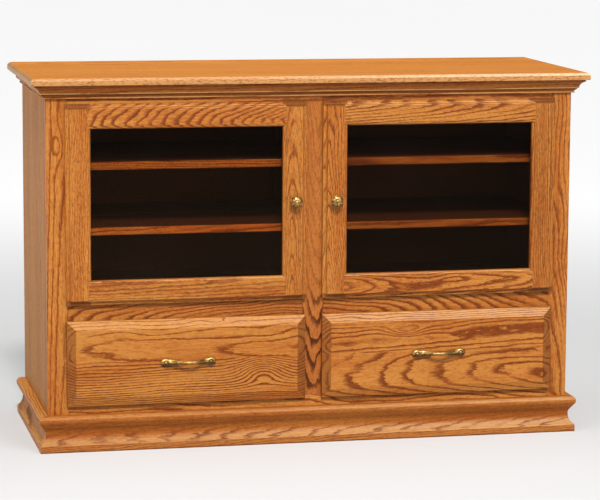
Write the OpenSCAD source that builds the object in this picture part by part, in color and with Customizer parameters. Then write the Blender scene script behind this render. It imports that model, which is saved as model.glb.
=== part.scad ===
// Oak media console: a face-framed case with two glazed doors over two drawers.
// Millimetres, Z up, +X to the viewer's right and -Y towards the viewer. The origin is under
// the middle of the whole object's outline, on the floor. Inside the modules Y = 0 is the
// front plane of the face frame, and placed() moves everything to the origin.

/* [Case] */
// Width of the case across its side panels
case_w = 1320; // [1160:10:1560]
// Depth of the case from the face frame's front to the back edge of the sides
case_d = 495; // [490:5:600]
// Thickness of the sides, bottom, deck and partitions
board_t = 19; // [18:0.5:22]
// Depth of the housings that hold the bottom and the deck in the sides
housing_d = 6; // [3:0.5:8]
// Thickness of the plywood back
back_t = 6; // [4:0.5:9]
// Depth of the rebate that the back sits in, measured into each side
back_rebate = 9; // [6:0.5:12]
// Radius of each cord hole in the back
cord_hole_r = 25; // [20:1:35]
// Depth of the cord holes' centres below the upper edge of the case
cord_hole_down = 110; // [90:5:130]

/* [Face frame] */
// Thickness of the face frame
frame_t = 19; // [16:0.5:22]
// Width of each outer stile
stile_w = 51; // [44:1:60]
// Width of the centre stile
centre_w = 52; // [46:1:64]
// Height of the top rail
top_rail_h = 51; // [46:1:65]
// Height of the rails between the drawers and the doors
middle_rail_h = 50; // [40:1:65]
// Height of the bottom rail
bottom_rail_h = 70; // [40:1:80]
// Height of the bottom rail's upper edge above the base moulding
bottom_rail_up = 26; // [20:1:40]
// Height of the openings for the drawers
drawer_open_h = 200; // [190:5:240]
// Height of the openings for the doors
door_open_h = 479; // [450:1:620]
// How far the doors and drawer fronts lap over the edges of their openings
overlay = 5; // [4:0.5:6]

/* [Top] */
// Thickness of the top
top_t = 19; // [17:0.5:26]
// Overhang of the top at the front and at both sides
top_over = 38; // [32:1:46]
// Width of the rounded moulding on the top's edge
top_edge_w = 13; // [8:0.5:16]
// Height of the rounded moulding on the top's edge
top_edge_h = 9; // [6:0.5:12]
// Small round on the lower corner of the top's edge
top_ease = 1.5; // [0.5:0.5:2]

/* [Crown moulding] */
// Height of the crown moulding under the top
crown_h = 33.5; // [32:0.5:42]
// Projection of the crown moulding at its upper fillet
crown_w = 29; // [27:1:31]
// Radius of the crown's cove
crown_cove_r = 17.5; // [17:0.5:18.5]
// Distance from the upper fillet's face to the centre of the cove
crown_cove_out = 4; // [3:0.5:5]
// Depth of the cove's lower edge below the top
crown_cove_h = 21.5; // [21:0.5:23.5]
// Projection of the step under the cove
crown_step_w = 12; // [9:0.5:13]
// Height of the step under the cove
crown_step_h = 2; // [1:0.25:2.5]
// Projection of the crown moulding at its lower edge
crown_foot_w = 7; // [6.5:0.5:8]
// Height of the lower fillet
crown_foot_h = 2.5; // [1.5:0.25:3]
// Projection of the crown moulding in the hollow above the lower fillet
crown_hollow_w = 5; // [4:0.5:6]
// Height of the slope from the hollow down to the lower fillet
crown_hollow_h = 1.5; // [1:0.25:2]

/* [Base moulding] */
// Height of the base moulding
base_h = 91; // [88:1:105]
// Projection of the base moulding's plinth
plinth_w = 20.5; // [19.5:0.5:24]
// Height of the plinth's upright face
plinth_h = 16.5; // [12:0.5:18]
// Height of the sloping fillet above the plinth's face
plinth_slope_h = 2.5; // [2:0.5:5]
// Width of the sloping fillet above the plinth's face
plinth_slope_w = 1.5; // [1:0.5:2.5]
// Radius of the nosing at the top of the base moulding
nosing_r = 12; // [10:0.5:13]
// Distance of the nosing's centre from the case
nosing_in = 10.5; // [9:0.5:12]
// Least thickness of the base moulding, at the waist of its cove
base_waist_w = 6; // [5:0.5:8]
// Height of the upright waist of the cove
base_waist_h = 3; // [2:1:8]
// Turn of the sweep between the waist and the plinth, in degrees
base_sweep_turn = 57; // [52:1:62]
// Radius of the bow above the waist
base_bow_r = 20; // [16:0.5:24]
// Slope of the straight part between the bow and the nosing, in degrees from upright
base_slope = 36; // [32:1:40]
// Size of the square glue blocks
block_w = 28; // [20:1:36]
// Length of the glue blocks
block_l = 60; // [40:5:90]

/* [Shelves] */
// Thickness of the shelves
shelf_t = 19; // [16:0.5:25]
// Distance from the back of the face frame to the shelves' front edge
shelf_setback = 5; // [2:1:30]
// Gap between a shelf and the boards beside it
shelf_gap = 1.5; // [0.5:0.5:3]
// Gap between a shelf and the back
shelf_back_gap = 12; // [5:1:40]
// Spacing of the shelf pin holes
pin_pitch = 32; // [30:1:34]
// Number of shelf pin holes in a column
pin_rows = 10; // [9:1:11]
// Height of the lowest shelf pin hole above the deck
pin_first_up = 61.5; // [50:0.5:80]
// Hole in each column that carries the lower shelf, counted from 0
lower_hole = 3; // [2:1:4]
// Hole in each column that carries the upper shelf, counted from 0
upper_hole = 8; // [6:1:8]
// Radius of a shelf pin
pin_r = 2.45; // [2:0.05:3]
// Clearance between a shelf pin and its hole
pin_fit = 0.05; // [0.05:0.05:0.1]
// Depth of a shelf pin hole
pin_hole_d = 8; // [6:0.5:8.5]
// Length of a shelf pin's flat tab
pin_tab_l = 10; // [8:0.5:14]
// Distance of the shelf pin holes from the front and back of the boards
pin_inset = 50; // [40:5:80]

/* [Doors] */
// Thickness of the doors
door_t = 19; // [18:0.5:22]
// Gap between the doors' backs and the face frame
door_gap = 2; // [1.5:0.25:2.5]
// Width of the doors' stiles
door_stile_w = 60; // [56:1:75]
// Height of the doors' rails
door_rail_h = 60; // [56:1:75]
// Flat lip round the outside of a door
lip_w = 4; // [2:0.5:4.5]
// Radius of the cove inside the lip
lip_cove_r = 5; // [4:0.5:5]
// Radius of the bead between the cove and the face
lip_bead_r = 3; // [2:0.5:3.5]
// Step between the cove and the bead
lip_step = 1; // [0.5:0.25:1]
// Radius of the bead round the glass
sticking_r = 6; // [4:0.5:6.5]
// Quirk between the bead round the glass and the face
sticking_quirk = 1.5; // [1:0.25:2]
// Depth of the glass rebate, measured from the door's face
glass_in = 9.5; // [9:0.25:10]
// Width of the glass rebate beyond the edge of the bead
glass_rebate = 8; // [6:0.5:9]
// Thickness of the glass
glass_t = 4; // [3:0.5:5]
// Gap round the glass and its stops
glass_fit = 0.5; // [0.25:0.25:1]
// Length of the stub tenons on the doors' rails
door_tenon_l = 8; // [5:1:8]
// Thickness of the stub tenons on the doors' rails
door_tenon_t = 5; // [4:0.5:5.5]

/* [Door hinges] */
// Distance from a door's top and bottom to its hinges
hinge_inset = 90; // [85:5:120]
// Distance of the hinge pin from the door's outer edge
hinge_pin_in = 6; // [6:0.25:6.5]
// Depth of the hinge pin behind the door's back face
hinge_pin_deep = 5.5; // [5.25:0.25:5.5]
// Radius of the hinge pin
hinge_pin_r = 0.9; // [0.8:0.05:1]
// Running clearance between the hinge pin and its arm
hinge_fit = 0.05; // [0.03:0.01:0.08]
// Radius of the hole for a hinge cup
cup_r = 17.5; // [17.5:0.5:20]
// Wood left between a hinge cup's hole and the door's edge
cup_edge = 2.5; // [2.25:0.25:2.5]
// Depth of a hinge cup
cup_d = 8.6; // [8.5:0.1:9]
// Thickness of a hinge cup's wall
cup_wall = 0.7; // [0.5:0.05:0.8]
// Length of a hinge cup's fixing wings
wing_l = 54; // [50:1:62]
// Thickness of the goose-neck arm
arm_t = 2; // [1.5:0.25:2]
// Width of the goose-neck arm
arm_w = 8; // [5:0.5:8]
// Reach of the arm round the door's corner
arm_reach = 8; // [8:0.25:9]
// Height of the arm's fixing plate
arm_plate_h = 36; // [30:1:50]
// Bevel on the door's back edge that lets it swing
swing_bevel = 2.5; // [2.5:0.25:3.5]

/* [Knobs and pulls] */
// Radius of a knob
knob_r = 15.5; // [12:0.5:18]
// Projection of a knob from its door
knob_l = 27; // [22:1:32]
// Radius of a knob's back plate
knob_plate_r = 9; // [7:0.5:11]
// Radius of a knob's neck
knob_neck_r = 5; // [4:0.5:6]
// Number of hollows between the petals round a knob's face
knob_flutes = 8; // [6:1:12]
// Radius of those hollows
knob_flute_r = 3.2; // [2:0.1:4]
// Distance between a pull's screws
pull_centres = 102; // [90:1:110]
// Length of a pull
pull_l = 137; // [132:1:150]
// Projection of a pull from its drawer front
pull_out = 26; // [22:1:30]
// Half of a pull's height at the middle of its bar
pull_bar_r = 3.9; // [3:0.1:5]
// Half of a pull's height at its feet
pull_foot_r = 9.8; // [8:0.2:11]
// Half of a pull's thickness at the middle of its bar
pull_bar_deep = 3.2; // [2.6:0.1:4]
// Half of a pull's thickness at its feet
pull_foot_deep = 5.8; // [5:0.1:6.5]
// Radius of the screws that hold the knobs and pulls
fixing_r = 2; // [1.5:0.25:2.5]
// Radius of the heads of those screws
fixing_head_r = 4.5; // [4:0.25:6]
// Clearance of those screws in the wood
fixing_fit = 0.3; // [0.1:0.1:0.5]

/* [Drawers] */
// Thickness of the drawer fronts
drawer_front_t = 19; // [17:0.5:24]
// Thickness of the drawer fronts at their edges
drawer_edge_t = 10; // [8:0.5:13]
// Width of the bevels round the drawer fronts
drawer_bevel_w = 22; // [16:1:30]
// Gap between the drawer fronts' backs and the face frame
drawer_gap = 2; // [1:0.5:3]
// Height of the drawer boxes
drawer_box_h = 150; // [120:5:160]
// Depth of the drawer boxes
drawer_box_d = 460; // [455:5:470]
// Height of the drawer boxes above the bottom of their openings
drawer_lift = 15; // [10:1:25]
// Thickness of the drawer boxes' boards
drawer_board_t = 12.7; // [12:0.1:15]
// Thickness of the drawer bottoms
drawer_bottom_t = 6; // [4:0.5:8]
// Height of a drawer bottom above the lower edge of its box
drawer_bottom_up = 12; // [10:1:16]
// Depth of the grooves that hold the drawer bottoms
groove_d = 6; // [4:0.5:7]
// Clearance of the drawer bottoms in their grooves
groove_fit = 0.1; // [0.05:0.05:0.3]
// Number of dovetails at each corner of a drawer box
tail_count = 4; // [3:1:6]
// Widest width of a dovetail, as a share of the spacing
tail_share = 0.72; // [0.6:0.02:0.76]
// Slope of the dovetails' sides, rise over run
tail_slope = 0.2; // [0.1:0.02:0.22]
// Clearance in the dovetails
tail_fit = 0.05; // [0.03:0.01:0.1]

/* [Drawer slides] */
// Thickness of a slide, from its spacer to the drawer box
slide_t = 12.7; // [12.5:0.1:14]
// Height of a slide
slide_h = 45.7; // [40:0.5:50]
// Length of a slide
slide_l = 450; // [400:10:450]
// Thickness of the slides' steel
slide_steel = 1.2; // [1:0.1:1.4]
// Running gap between the members of a slide
slide_run = 0.4; // [0.3:0.05:0.6]
// Distance from the face frame's front to a slide
slide_in = 3; // [2:0.5:6]
// Height of the wooden spacers behind the slides
spacer_h = 60; // [50:5:90]

/* [Hidden] */
$fn = 64;

left = -1;
right = 1;
oak = "#c8843f";
oak_top = "#d68a3e";
oak_inside = "#8a5a2c";
maple = "#d9b98a";
plywood = "#a87b4a";
brass = "#b89a4e";
steel = "#b9bcc0";
clear_glass = [0.25, 0.22, 0.18, 0.4];

// Heights of the face frame's edges
bottom_rail_z = base_h + bottom_rail_up;
middle_rail_z0 = bottom_rail_z + drawer_open_h;
middle_rail_z = middle_rail_z0 + middle_rail_h;
top_rail_z0 = middle_rail_z + door_open_h;
case_h = top_rail_z0 + top_rail_h;

// Main planes of the case
half_w = case_w / 2;
inner_x = half_w - board_t;
open_x0 = centre_w / 2;
open_x1 = half_w - stile_w;
back_y = case_d - back_t;
deck_z0 = middle_rail_z - board_t;
bottom_z0 = bottom_rail_z - board_t;

// Outlines of the right door and drawer front; the left ones mirror them
front_x0 = open_x0 - overlay;
front_x1 = open_x1 + overlay;
front_w = front_x1 - front_x0;
door_z0 = middle_rail_z - overlay;
door_z1 = top_rail_z0 + overlay;
door_h = door_z1 - door_z0;
drawer_z0 = bottom_rail_z - overlay;
drawer_z1 = middle_rail_z0 + overlay;
drawer_h = drawer_z1 - drawer_z0;
door_face_y = -door_gap - door_t;
drawer_face_y = -drawer_gap - drawer_front_t;

// The whole object's outline runs from the foremost knob, pull or edge to the back of the case
front_reach = max(top_over, knob_l - door_face_y, pull_out - drawer_face_y, nosing_in + nosing_r);
shift_y = (case_d - front_reach) / 2;

// Small overshoot of cutting shapes past the faces that they open
past = 1;

// Points of an arc from angle a0 to a1 round [cx, cy]
function arc(cx, cy, r, a0, a1, n = 8) =
    [for (i = [0:n]) let (a = a0 + (a1 - a0) * i / n) [cx + r * cos(a), cy + r * sin(a)]];

// The points of one edge, then the same edge mirrored, as one closed outline
function both_edges(points) =
    concat(points, [for (i = [len(points) - 1:-1:0]) [-points[i][0], points[i][1]]]);

// Moves a piece from the face frame's front plane to the object's origin
module placed() translate([0, -shift_y, 0]) children();

// Leaves a right-hand piece as it is and mirrors it for the left
module on_side(side) mirror([side < 0 ? 1 : 0, 0, 0]) children();

// A box between two opposite corners
module slab(low, high) translate(low) cube(high - low);

// Extrudes a section drawn as [outwards, up] along X, with outwards towards the viewer
module along_x(x0, x1) translate([x0, 0, 0]) rotate([90, 0, 90]) linear_extrude(x1 - x0) mirror([1, 0]) children();

// Extrudes a section drawn as [outwards, up] along Y, with outwards towards +X
module along_y(y0, y1) translate([0, y1, 0]) rotate([90, 0, 0]) linear_extrude(y1 - y0) children();

// Extrudes an outline drawn as [x, y] upwards
module upright(z0, z1) translate([0, 0, z0]) linear_extrude(z1 - z0) children();

// Extrudes an outline drawn as [z, y] along X
module lying(x0, x1) translate([x1, 0, 0]) rotate([0, -90, 0]) linear_extrude(x1 - x0) children();

// A rod along Y, from the lower to the higher y
module rod_y(x, z, y0, y1, r) translate([x, y1, z]) rotate([90, 0, 0]) cylinder(h = y1 - y0, r = r);

// A rod along X, from the lower to the higher x
module rod_x(y, z, x0, x1, r) translate([x0, y, z]) rotate([0, 90, 0]) cylinder(h = x1 - x0, r = r);

// TOP

// Section of the top, with its moulded edge at outer and a square end at inner
module top_section(outer, inner) {
    round_h = min(top_edge_h, top_t - 2 * top_ease);
    steps = 10;
    round_over = [
        for (i = [0:steps]) let (a = 90 * i / steps)
            [outer - top_edge_w * (1 - cos(a)), top_t - round_h * (1 - sin(a))]
    ];
    polygon(concat([[inner, 0]], arc(outer - top_ease, top_ease, top_ease, -90, 0, 4), round_over, [[inner, top_t]]));
}

module top_panel() {
    half = half_w + top_over;
    color(oak_top) placed() translate([0, 0, case_h]) intersection() {
        along_y(-top_over, case_d) intersection() {
            top_section(half, -half);
            mirror([1, 0]) top_section(half, -half);
        }
        along_x(-half, half) top_section(top_over, -case_d);
    }
}

// MOULDINGS

// Section of the crown moulding: projection from the case and height
module crown_section() translate([0, case_h]) polygon(concat(
    [[0, 0], [crown_w, 0]],
    arc(crown_w + crown_cove_out, -crown_cove_h, crown_cove_r, 90 + asin(crown_cove_out / crown_cove_r), 180, 10),
    [
        [crown_step_w, -crown_cove_h],
        [crown_step_w, -crown_cove_h - crown_step_h],
        [crown_hollow_w, -crown_h + crown_foot_h + crown_hollow_h],
        [crown_foot_w, -crown_h + crown_foot_h],
        [crown_foot_w, -crown_h],
        [0, -crown_h]
    ]
));

// Section of the base moulding: projection from the case and height
module base_section() {
    sweep_r = (plinth_w - plinth_slope_w - base_waist_w) / (1 - cos(base_sweep_turn));
    sweep_z = plinth_h + plinth_slope_h + sweep_r * sin(base_sweep_turn);
    polygon(concat(
        [[0, 0], [plinth_w, 0], [plinth_w, plinth_h]],
        arc(base_waist_w + sweep_r, sweep_z, sweep_r, 180 + base_sweep_turn, 180),
        arc(base_waist_w + base_bow_r, sweep_z + base_waist_h, base_bow_r, 180, 180 - base_slope, 5),
        arc(nosing_in, base_h - nosing_r, nosing_r, -base_slope, 90, 10),
        [[0, base_h]]
    ));
}

// A moulding along the front, mitred at both ends
module front_moulding(reach) intersection() {
    along_x(-half_w - reach, half_w + reach) children();
    upright(0, case_h + past) polygon([[-half_w, 0], [-half_w - reach, -reach], [half_w + reach, -reach], [half_w, 0]]);
}

// A moulding along the right side, mitred at the front and square at the back
module side_moulding(reach) intersection() {
    translate([half_w, 0, 0]) along_y(-reach, case_d) children();
    upright(0, case_h + past) polygon([[half_w, 0], [half_w + reach, -reach], [half_w + reach, case_d], [half_w, case_d]]);
}

module crown_front() color(oak) placed() front_moulding(crown_w) crown_section();
module crown_side(side) color(oak) placed() on_side(side) side_moulding(crown_w) crown_section();

base_reach = max(plinth_w, nosing_in + nosing_r);
module base_front() color(oak) placed() front_moulding(base_reach) base_section();
module base_side(side) color(oak) placed() on_side(side) side_moulding(base_reach) base_section();

// CASE

// Heights of the shelf pin holes, and their distances from the face frame's front
pin_z = [for (i = [0:pin_rows - 1]) middle_rail_z + pin_first_up + i * pin_pitch];
pin_y = [frame_t + pin_inset, back_y - pin_inset];

// Shelf pin holes in a board's face at x, drilled towards -X or +X
module pin_holes(x, towards) for (y = pin_y, z = pin_z)
    rod_x(y, z, towards < 0 ? x - pin_hole_d : x - past, towards < 0 ? x + past : x + pin_hole_d, pin_r + pin_fit);

module case_side(side) color(oak) placed() on_side(side) difference() {
    slab([inner_x, frame_t, 0], [half_w, case_d, case_h]);
    slab([inner_x - past, frame_t - past, deck_z0], [inner_x + housing_d, back_y, middle_rail_z]);
    slab([inner_x - past, frame_t - past, bottom_z0], [inner_x + housing_d, back_y, bottom_rail_z]);
    slab([inner_x - past, back_y, bottom_z0], [inner_x + back_rebate, case_d + past, case_h + past]);
    pin_holes(inner_x, 1);
}

// A board across the case, housed in both sides
module housed_board(z0, z1) slab([-inner_x - housing_d, frame_t, z0], [inner_x + housing_d, back_y, z1]);

module bottom_panel() color(oak_inside) placed() housed_board(bottom_z0, bottom_rail_z);
module deck() color(oak_inside) placed() housed_board(deck_z0, middle_rail_z);

module partition() color(oak_inside) placed() difference() {
    slab([-board_t / 2, frame_t, middle_rail_z], [board_t / 2, back_y, case_h]);
    pin_holes(board_t / 2, -1);
    pin_holes(-board_t / 2, 1);
}

module drawer_divider() color(oak_inside) placed()
    slab([-board_t / 2, frame_t, bottom_rail_z], [board_t / 2, back_y, deck_z0]);

// Middle of a bay between its partition and its side
bay_x = (board_t / 2 + inner_x) / 2;

module back_panel() color(plywood) placed() difference() {
    slab([-inner_x - back_rebate, back_y, bottom_z0], [inner_x + back_rebate, case_d, case_h]);
    for (side = [left, right])
        rod_y(side * bay_x, case_h - cord_hole_down, back_y - past, case_d + past, cord_hole_r);
}

// Blocks under the bottom, and cleats that hold the top down
module blocks_and_cleats() color(plywood) placed() for (side = [left, right]) on_side(side) {
    for (y = [frame_t, (frame_t + back_y - block_l) / 2, back_y - block_l])
        slab([inner_x - block_w, y, bottom_z0 - block_w], [inner_x, y + block_l, bottom_z0]);
    slab([bay_x - block_l, frame_t, bottom_z0 - block_w], [bay_x, frame_t + block_w, bottom_z0]);
    slab([inner_x - block_w, frame_t, case_h - board_t], [inner_x, back_y, case_h]);
    slab([board_t / 2, frame_t, case_h - board_t], [board_t / 2 + block_w, back_y, case_h]);
}

// FACE FRAME

module outer_stile(side) color(oak) placed() on_side(side) slab([open_x1, 0, 0], [half_w, frame_t, case_h]);
module stile_centre() color(oak) placed() slab([-open_x0, 0, bottom_rail_z], [open_x0, frame_t, top_rail_z0]);
module rail_top() color(oak) placed() slab([-open_x1, 0, top_rail_z0], [open_x1, frame_t, case_h]);

module rails_middle() color(oak) placed() for (side = [left, right])
    on_side(side) slab([open_x0, 0, middle_rail_z0], [open_x1, frame_t, middle_rail_z]);

module rail_bottom() color(oak) placed()
    slab([-open_x1, 0, bottom_rail_z - bottom_rail_h], [open_x1, frame_t, bottom_rail_z]);

// SHELVES

function shelf_z(hole) = pin_z[hole] + pin_r;

module shelf(side, hole) color(oak_inside) placed() on_side(side) {
    front_y = frame_t + shelf_setback;
    ease = 2;
    z0 = shelf_z(hole);
    z1 = z0 + shelf_t;
    along_x(board_t / 2 + shelf_gap, inner_x - shelf_gap) polygon(concat(
        [[shelf_back_gap - back_y, z0]],
        arc(-front_y - ease, z0 + ease, ease, -90, 0, 4),
        arc(-front_y - ease, z1 - ease, ease, 0, 90, 4),
        [[shelf_back_gap - back_y, z1]]
    ));
}

// A pin in the board at x, with its tab reaching out along +X
module shelf_pin(x, y, z) {
    tab_w = 8;
    tab_t = 2;
    rod_x(y, z, x - pin_hole_d + past, x, pin_r);
    slab([x, y - tab_w / 2, z + pin_r - tab_t], [x + pin_tab_l, y + tab_w / 2, z + pin_r]);
}

module shelf_pins() color(steel) placed() for (side = [left, right], hole = [lower_hole, upper_hole], y = pin_y)
    on_side(side) {
        shelf_pin(board_t / 2, y, pin_z[hole]);
        mirror([1, 0, 0]) shelf_pin(-inner_x, y, pin_z[hole]);
    }

// DOORS

door_x = (front_x0 + front_x1) / 2;
door_z = (door_z0 + door_z1) / 2;
sight_w = front_w / 2 - door_stile_w;
sight_h = door_h / 2 - door_rail_h;
lip_d = lip_cove_r + lip_step + lip_bead_r;
lip_band = lip_w + lip_cove_r + lip_bead_r;
stick_w = sticking_r + sticking_quirk;
rebate_w = sight_w + glass_rebate;
rebate_h = sight_h + glass_rebate;

// The door's modules draw it round its own middle, with its face at Y = 0 and its back at Y = door_t
module at_door(side) placed() on_side(side) translate([door_x, door_face_y, door_z]) children();

// Outline of the door's edges: lip, cove and bead on the face, square at the back
function lip_points(half) = both_edges(concat(
    [[half, door_t], [half, lip_d]],
    arc(half - lip_w, lip_step + lip_bead_r, lip_cove_r, 90, 180, 6),
    arc(half - lip_w - lip_cove_r - lip_bead_r, lip_bead_r, lip_bead_r, 0, -90, 5)
));

// Outline of the opening: quirk and bead from the face down to the glass
function sticking_points(half) = both_edges(concat(
    [[half, door_t + past]],
    arc(half + sticking_r, stick_w, sticking_r, 180, 270, 6),
    [[half + stick_w, sticking_quirk], [half + stick_w, -past]]
));

module door_blank() difference() {
    intersection() {
        upright(-door_h / 2, door_h / 2) polygon(lip_points(front_w / 2));
        lying(-front_w / 2, front_w / 2) polygon(lip_points(door_h / 2));
    }
    intersection() {
        upright(-door_h / 2, door_h / 2) polygon(sticking_points(sight_w));
        lying(-front_w / 2, front_w / 2) polygon(sticking_points(sight_h));
    }
    slab([-rebate_w, glass_in, -rebate_h], [rebate_w, door_t + past, rebate_h]);
}

// The space of the upper rail: it laps the stiles' beads in front and has a stub tenon at each end
module upper_rail_space() {
    top = door_h / 2 + past;
    tenon_y = glass_in + (door_t - glass_in - door_tenon_t) / 2;
    slab([-sight_w - stick_w, -past, sight_h], [sight_w + stick_w, stick_w, top]);
    slab([-sight_w, stick_w - past, sight_h], [sight_w, door_t + past, top]);
    slab(
        [-sight_w - door_tenon_l, tenon_y, rebate_h],
        [sight_w + door_tenon_l, tenon_y + door_tenon_t, door_h / 2 - lip_band]
    );
}

module door_rail(side, up) color(oak) at_door(side) intersection() {
    door_blank();
    mirror([0, 0, up > 0 ? 0 : 1]) upper_rail_space();
}

module door_stile_space(low, high) difference() {
    intersection() {
        door_blank();
        slab([low, -past, -door_h], [high, door_t + past, door_h]);
    }
    upper_rail_space();
    mirror([0, 0, 1]) upper_rail_space();
}

// The hinge pin's axis and the cups' centres, measured from the middle of the door
pin_axis_x = front_w / 2 - hinge_pin_in;
pin_axis_y = door_t - hinge_pin_deep;
cup_x = front_w / 2 - cup_edge - cup_r;
hinge_zs = [-door_h / 2 + hinge_inset, door_h / 2 - hinge_inset];

module door_hinge_stile(side) color(oak) at_door(side) difference() {
    door_stile_space(sight_w, front_w);
    for (z = hinge_zs) rod_y(cup_x, z, door_t - cup_d, door_t + past, cup_r);
    upright(-door_h, door_h) polygon([
        [front_w / 2 + past, door_t - swing_bevel - past],
        [front_w / 2 + past, door_t + past],
        [front_w / 2 - swing_bevel - past, door_t + past]
    ]);
}

// The knob stands in the middle of the latch stile
knob_x = -front_w / 2 + door_stile_w / 2;

module door_latch_stile(side) color(oak) at_door(side) difference() {
    door_stile_space(-front_w, -sight_w);
    rod_y(knob_x, 0, -past, door_t + past, fixing_r + fixing_fit);
}

module door_glass(side) color(clear_glass) at_door(side) slab(
    [glass_fit - rebate_w, glass_in, glass_fit - rebate_h],
    [rebate_w - glass_fit, glass_in + glass_t, rebate_h - glass_fit]
);

// Section of a glass stop: [distance from the middle of the door, depth from the face]
module stop_section(half) {
    bevel = 2.5;
    polygon([
        [half, glass_in + glass_t],
        [half + glass_rebate - glass_fit, glass_in + glass_t],
        [half + glass_rebate - glass_fit, door_t],
        [half + bevel, door_t],
        [half, door_t - bevel]
    ]);
}

// The stops' mitres stay this far apart, so that each strip is its own piece
stop_mitre = 0.3;

module door_glass_stops(side) color(oak) at_door(side) {
    out_w = rebate_w;
    out_h = rebate_h;
    for (end = [0, 1]) {
        mirror([end, 0, 0]) intersection() {
            upright(-out_h, out_h) stop_section(sight_w);
            translate([0, door_t, 0]) rotate([90, 0, 0]) linear_extrude(door_t) polygon([
                [sight_w, sight_h - stop_mitre],
                [out_w, out_h - stop_mitre],
                [out_w, stop_mitre - out_h],
                [sight_w, stop_mitre - sight_h]
            ]);
        }
        mirror([0, 0, end]) intersection() {
            lying(-out_w, out_w) stop_section(sight_h);
            translate([0, door_t, 0]) rotate([90, 0, 0]) linear_extrude(door_t) polygon([
                [sight_w - stop_mitre, sight_h],
                [out_w - stop_mitre, out_h],
                [stop_mitre - out_w, out_h],
                [stop_mitre - sight_w, sight_h]
            ]);
        }
    }
}

// HINGES: each door turns on two steel pins. A pin sits in a cup let into the door's back, and a
// goose-neck arm on the edge of the face frame reaches round the door's corner to the pin.

cup_fit = 0.1;
wing_t = 1.2;
wing_w = 18;
wing_corner = 5;
screw_head_r = 3.5;
screw_head_t = 1.2;
ring_wall = 1.05;
plate_screw_in = 6;

module hinge_cup() {
    shell_r = cup_r - cup_fit;
    bore_r = shell_r - cup_wall;
    half_chord = sqrt(pow(bore_r, 2) - pow(pin_axis_x - cup_x, 2));
    inner_w = wing_w / 2 - wing_corner;
    inner_l = wing_l / 2 - wing_corner;
    translate([cup_x, 0, 0]) difference() {
        union() {
            rod_y(0, 0, door_t - cup_d, door_t, shell_r);
            for (up = [-1, 1]) {
                for (across = [-1, 1])
                    rod_y(across * inner_w, up * inner_l, door_t, door_t + wing_t, wing_corner);
                rod_y(0, up * inner_l, door_t, door_t + wing_t + screw_head_t, screw_head_r);
            }
            slab([-wing_w / 2, door_t, -inner_l], [wing_w / 2, door_t + wing_t, inner_l]);
            slab([-inner_w, door_t, -wing_l / 2], [inner_w, door_t + wing_t, wing_l / 2]);
        }
        rod_y(0, 0, door_t - cup_d + cup_wall, door_t + 3 * wing_t, bore_r);
    }
    translate([pin_axis_x, pin_axis_y, -half_chord - cup_wall / 2])
        cylinder(h = 2 * half_chord + cup_wall, r = hinge_pin_r);
}

module door_hinge_cups(side) color(steel) at_door(side)
    for (z = hinge_zs) translate([0, 0, z]) hinge_cup();

// Outline of a goose-neck arm round the pin's axis: [across, back]
module arm_outline() {
    far = arm_reach + arm_t;
    plate_x = open_x1 - door_x - pin_axis_x;
    difference() {
        union() {
            circle(hinge_pin_r + hinge_fit + ring_wall);
            translate([-far, -arm_t / 2]) square([far, arm_t]);
            translate([-far, -arm_t / 2]) square([arm_t, far + arm_t / 2]);
            translate([-far, arm_reach]) square([far + plate_x, arm_t]);
        }
        circle(hinge_pin_r + hinge_fit);
    }
}

module hinge_arms() color(steel) placed() for (side = [left, right], z = hinge_zs)
    on_side(side) translate([door_x, door_face_y, door_z + z]) {
        plate_x = open_x1 - door_x;
        plate_y = pin_axis_y + arm_reach;
        upright(-arm_w / 2, arm_w / 2) translate([pin_axis_x, pin_axis_y]) arm_outline();
        slab([plate_x - arm_t, plate_y, -arm_plate_h / 2], [plate_x, frame_t - door_face_y - past, arm_plate_h / 2]);
        screw_y = (plate_y + frame_t - door_face_y) / 2;
        screw_x = plate_x - arm_t;
        for (up = [-1, 1])
            rod_x(screw_y, up * (arm_plate_h / 2 - plate_screw_in), screw_x - screw_head_t, screw_x, screw_head_r);
    }

// KNOBS AND PULLS

// Half of a knob's outline: [radius, distance from the door]
function knob_points() = let (head_z = 0.62 * knob_l, rim = 2.2, rim_turn = 60) concat(
    [[0, 0], [knob_plate_r, 0], [knob_plate_r, 1.2]],
    arc(knob_plate_r - 2.5, 1.2, 2.5, 0, 90, 4),
    [[knob_neck_r, 4.6], [knob_neck_r - 0.6, 0.34 * knob_l], [knob_neck_r + 1.2, 0.45 * knob_l]],
    [[knob_r - rim - 1.5, head_z - rim]],
    arc(knob_r - rim, head_z, rim, -90, rim_turn, 6),
    [for (i = [1:8]) let (a = 30 + 60 * i / 8) [(knob_r - 1.5) * cos(a), head_z + 2 + (knob_l - head_z - 2) * sin(a)]]
);

module knob_body() difference() {
    rotate_extrude() polygon(knob_points());
    for (i = [0:knob_flutes - 1])
        rotate([0, 0, i * 360 / knob_flutes]) translate([0.7 * knob_r, 0, knob_l + 0.4]) sphere(knob_flute_r);
}

module door_knob(side) color(brass) at_door(side) {
    translate([knob_x, 0, 0]) rotate([90, 0, 0]) knob_body();
    rod_y(knob_x, 0, 0, door_t, fixing_r);
    rod_y(knob_x, 0, door_t, door_t + 2.4, fixing_head_r);
}

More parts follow.
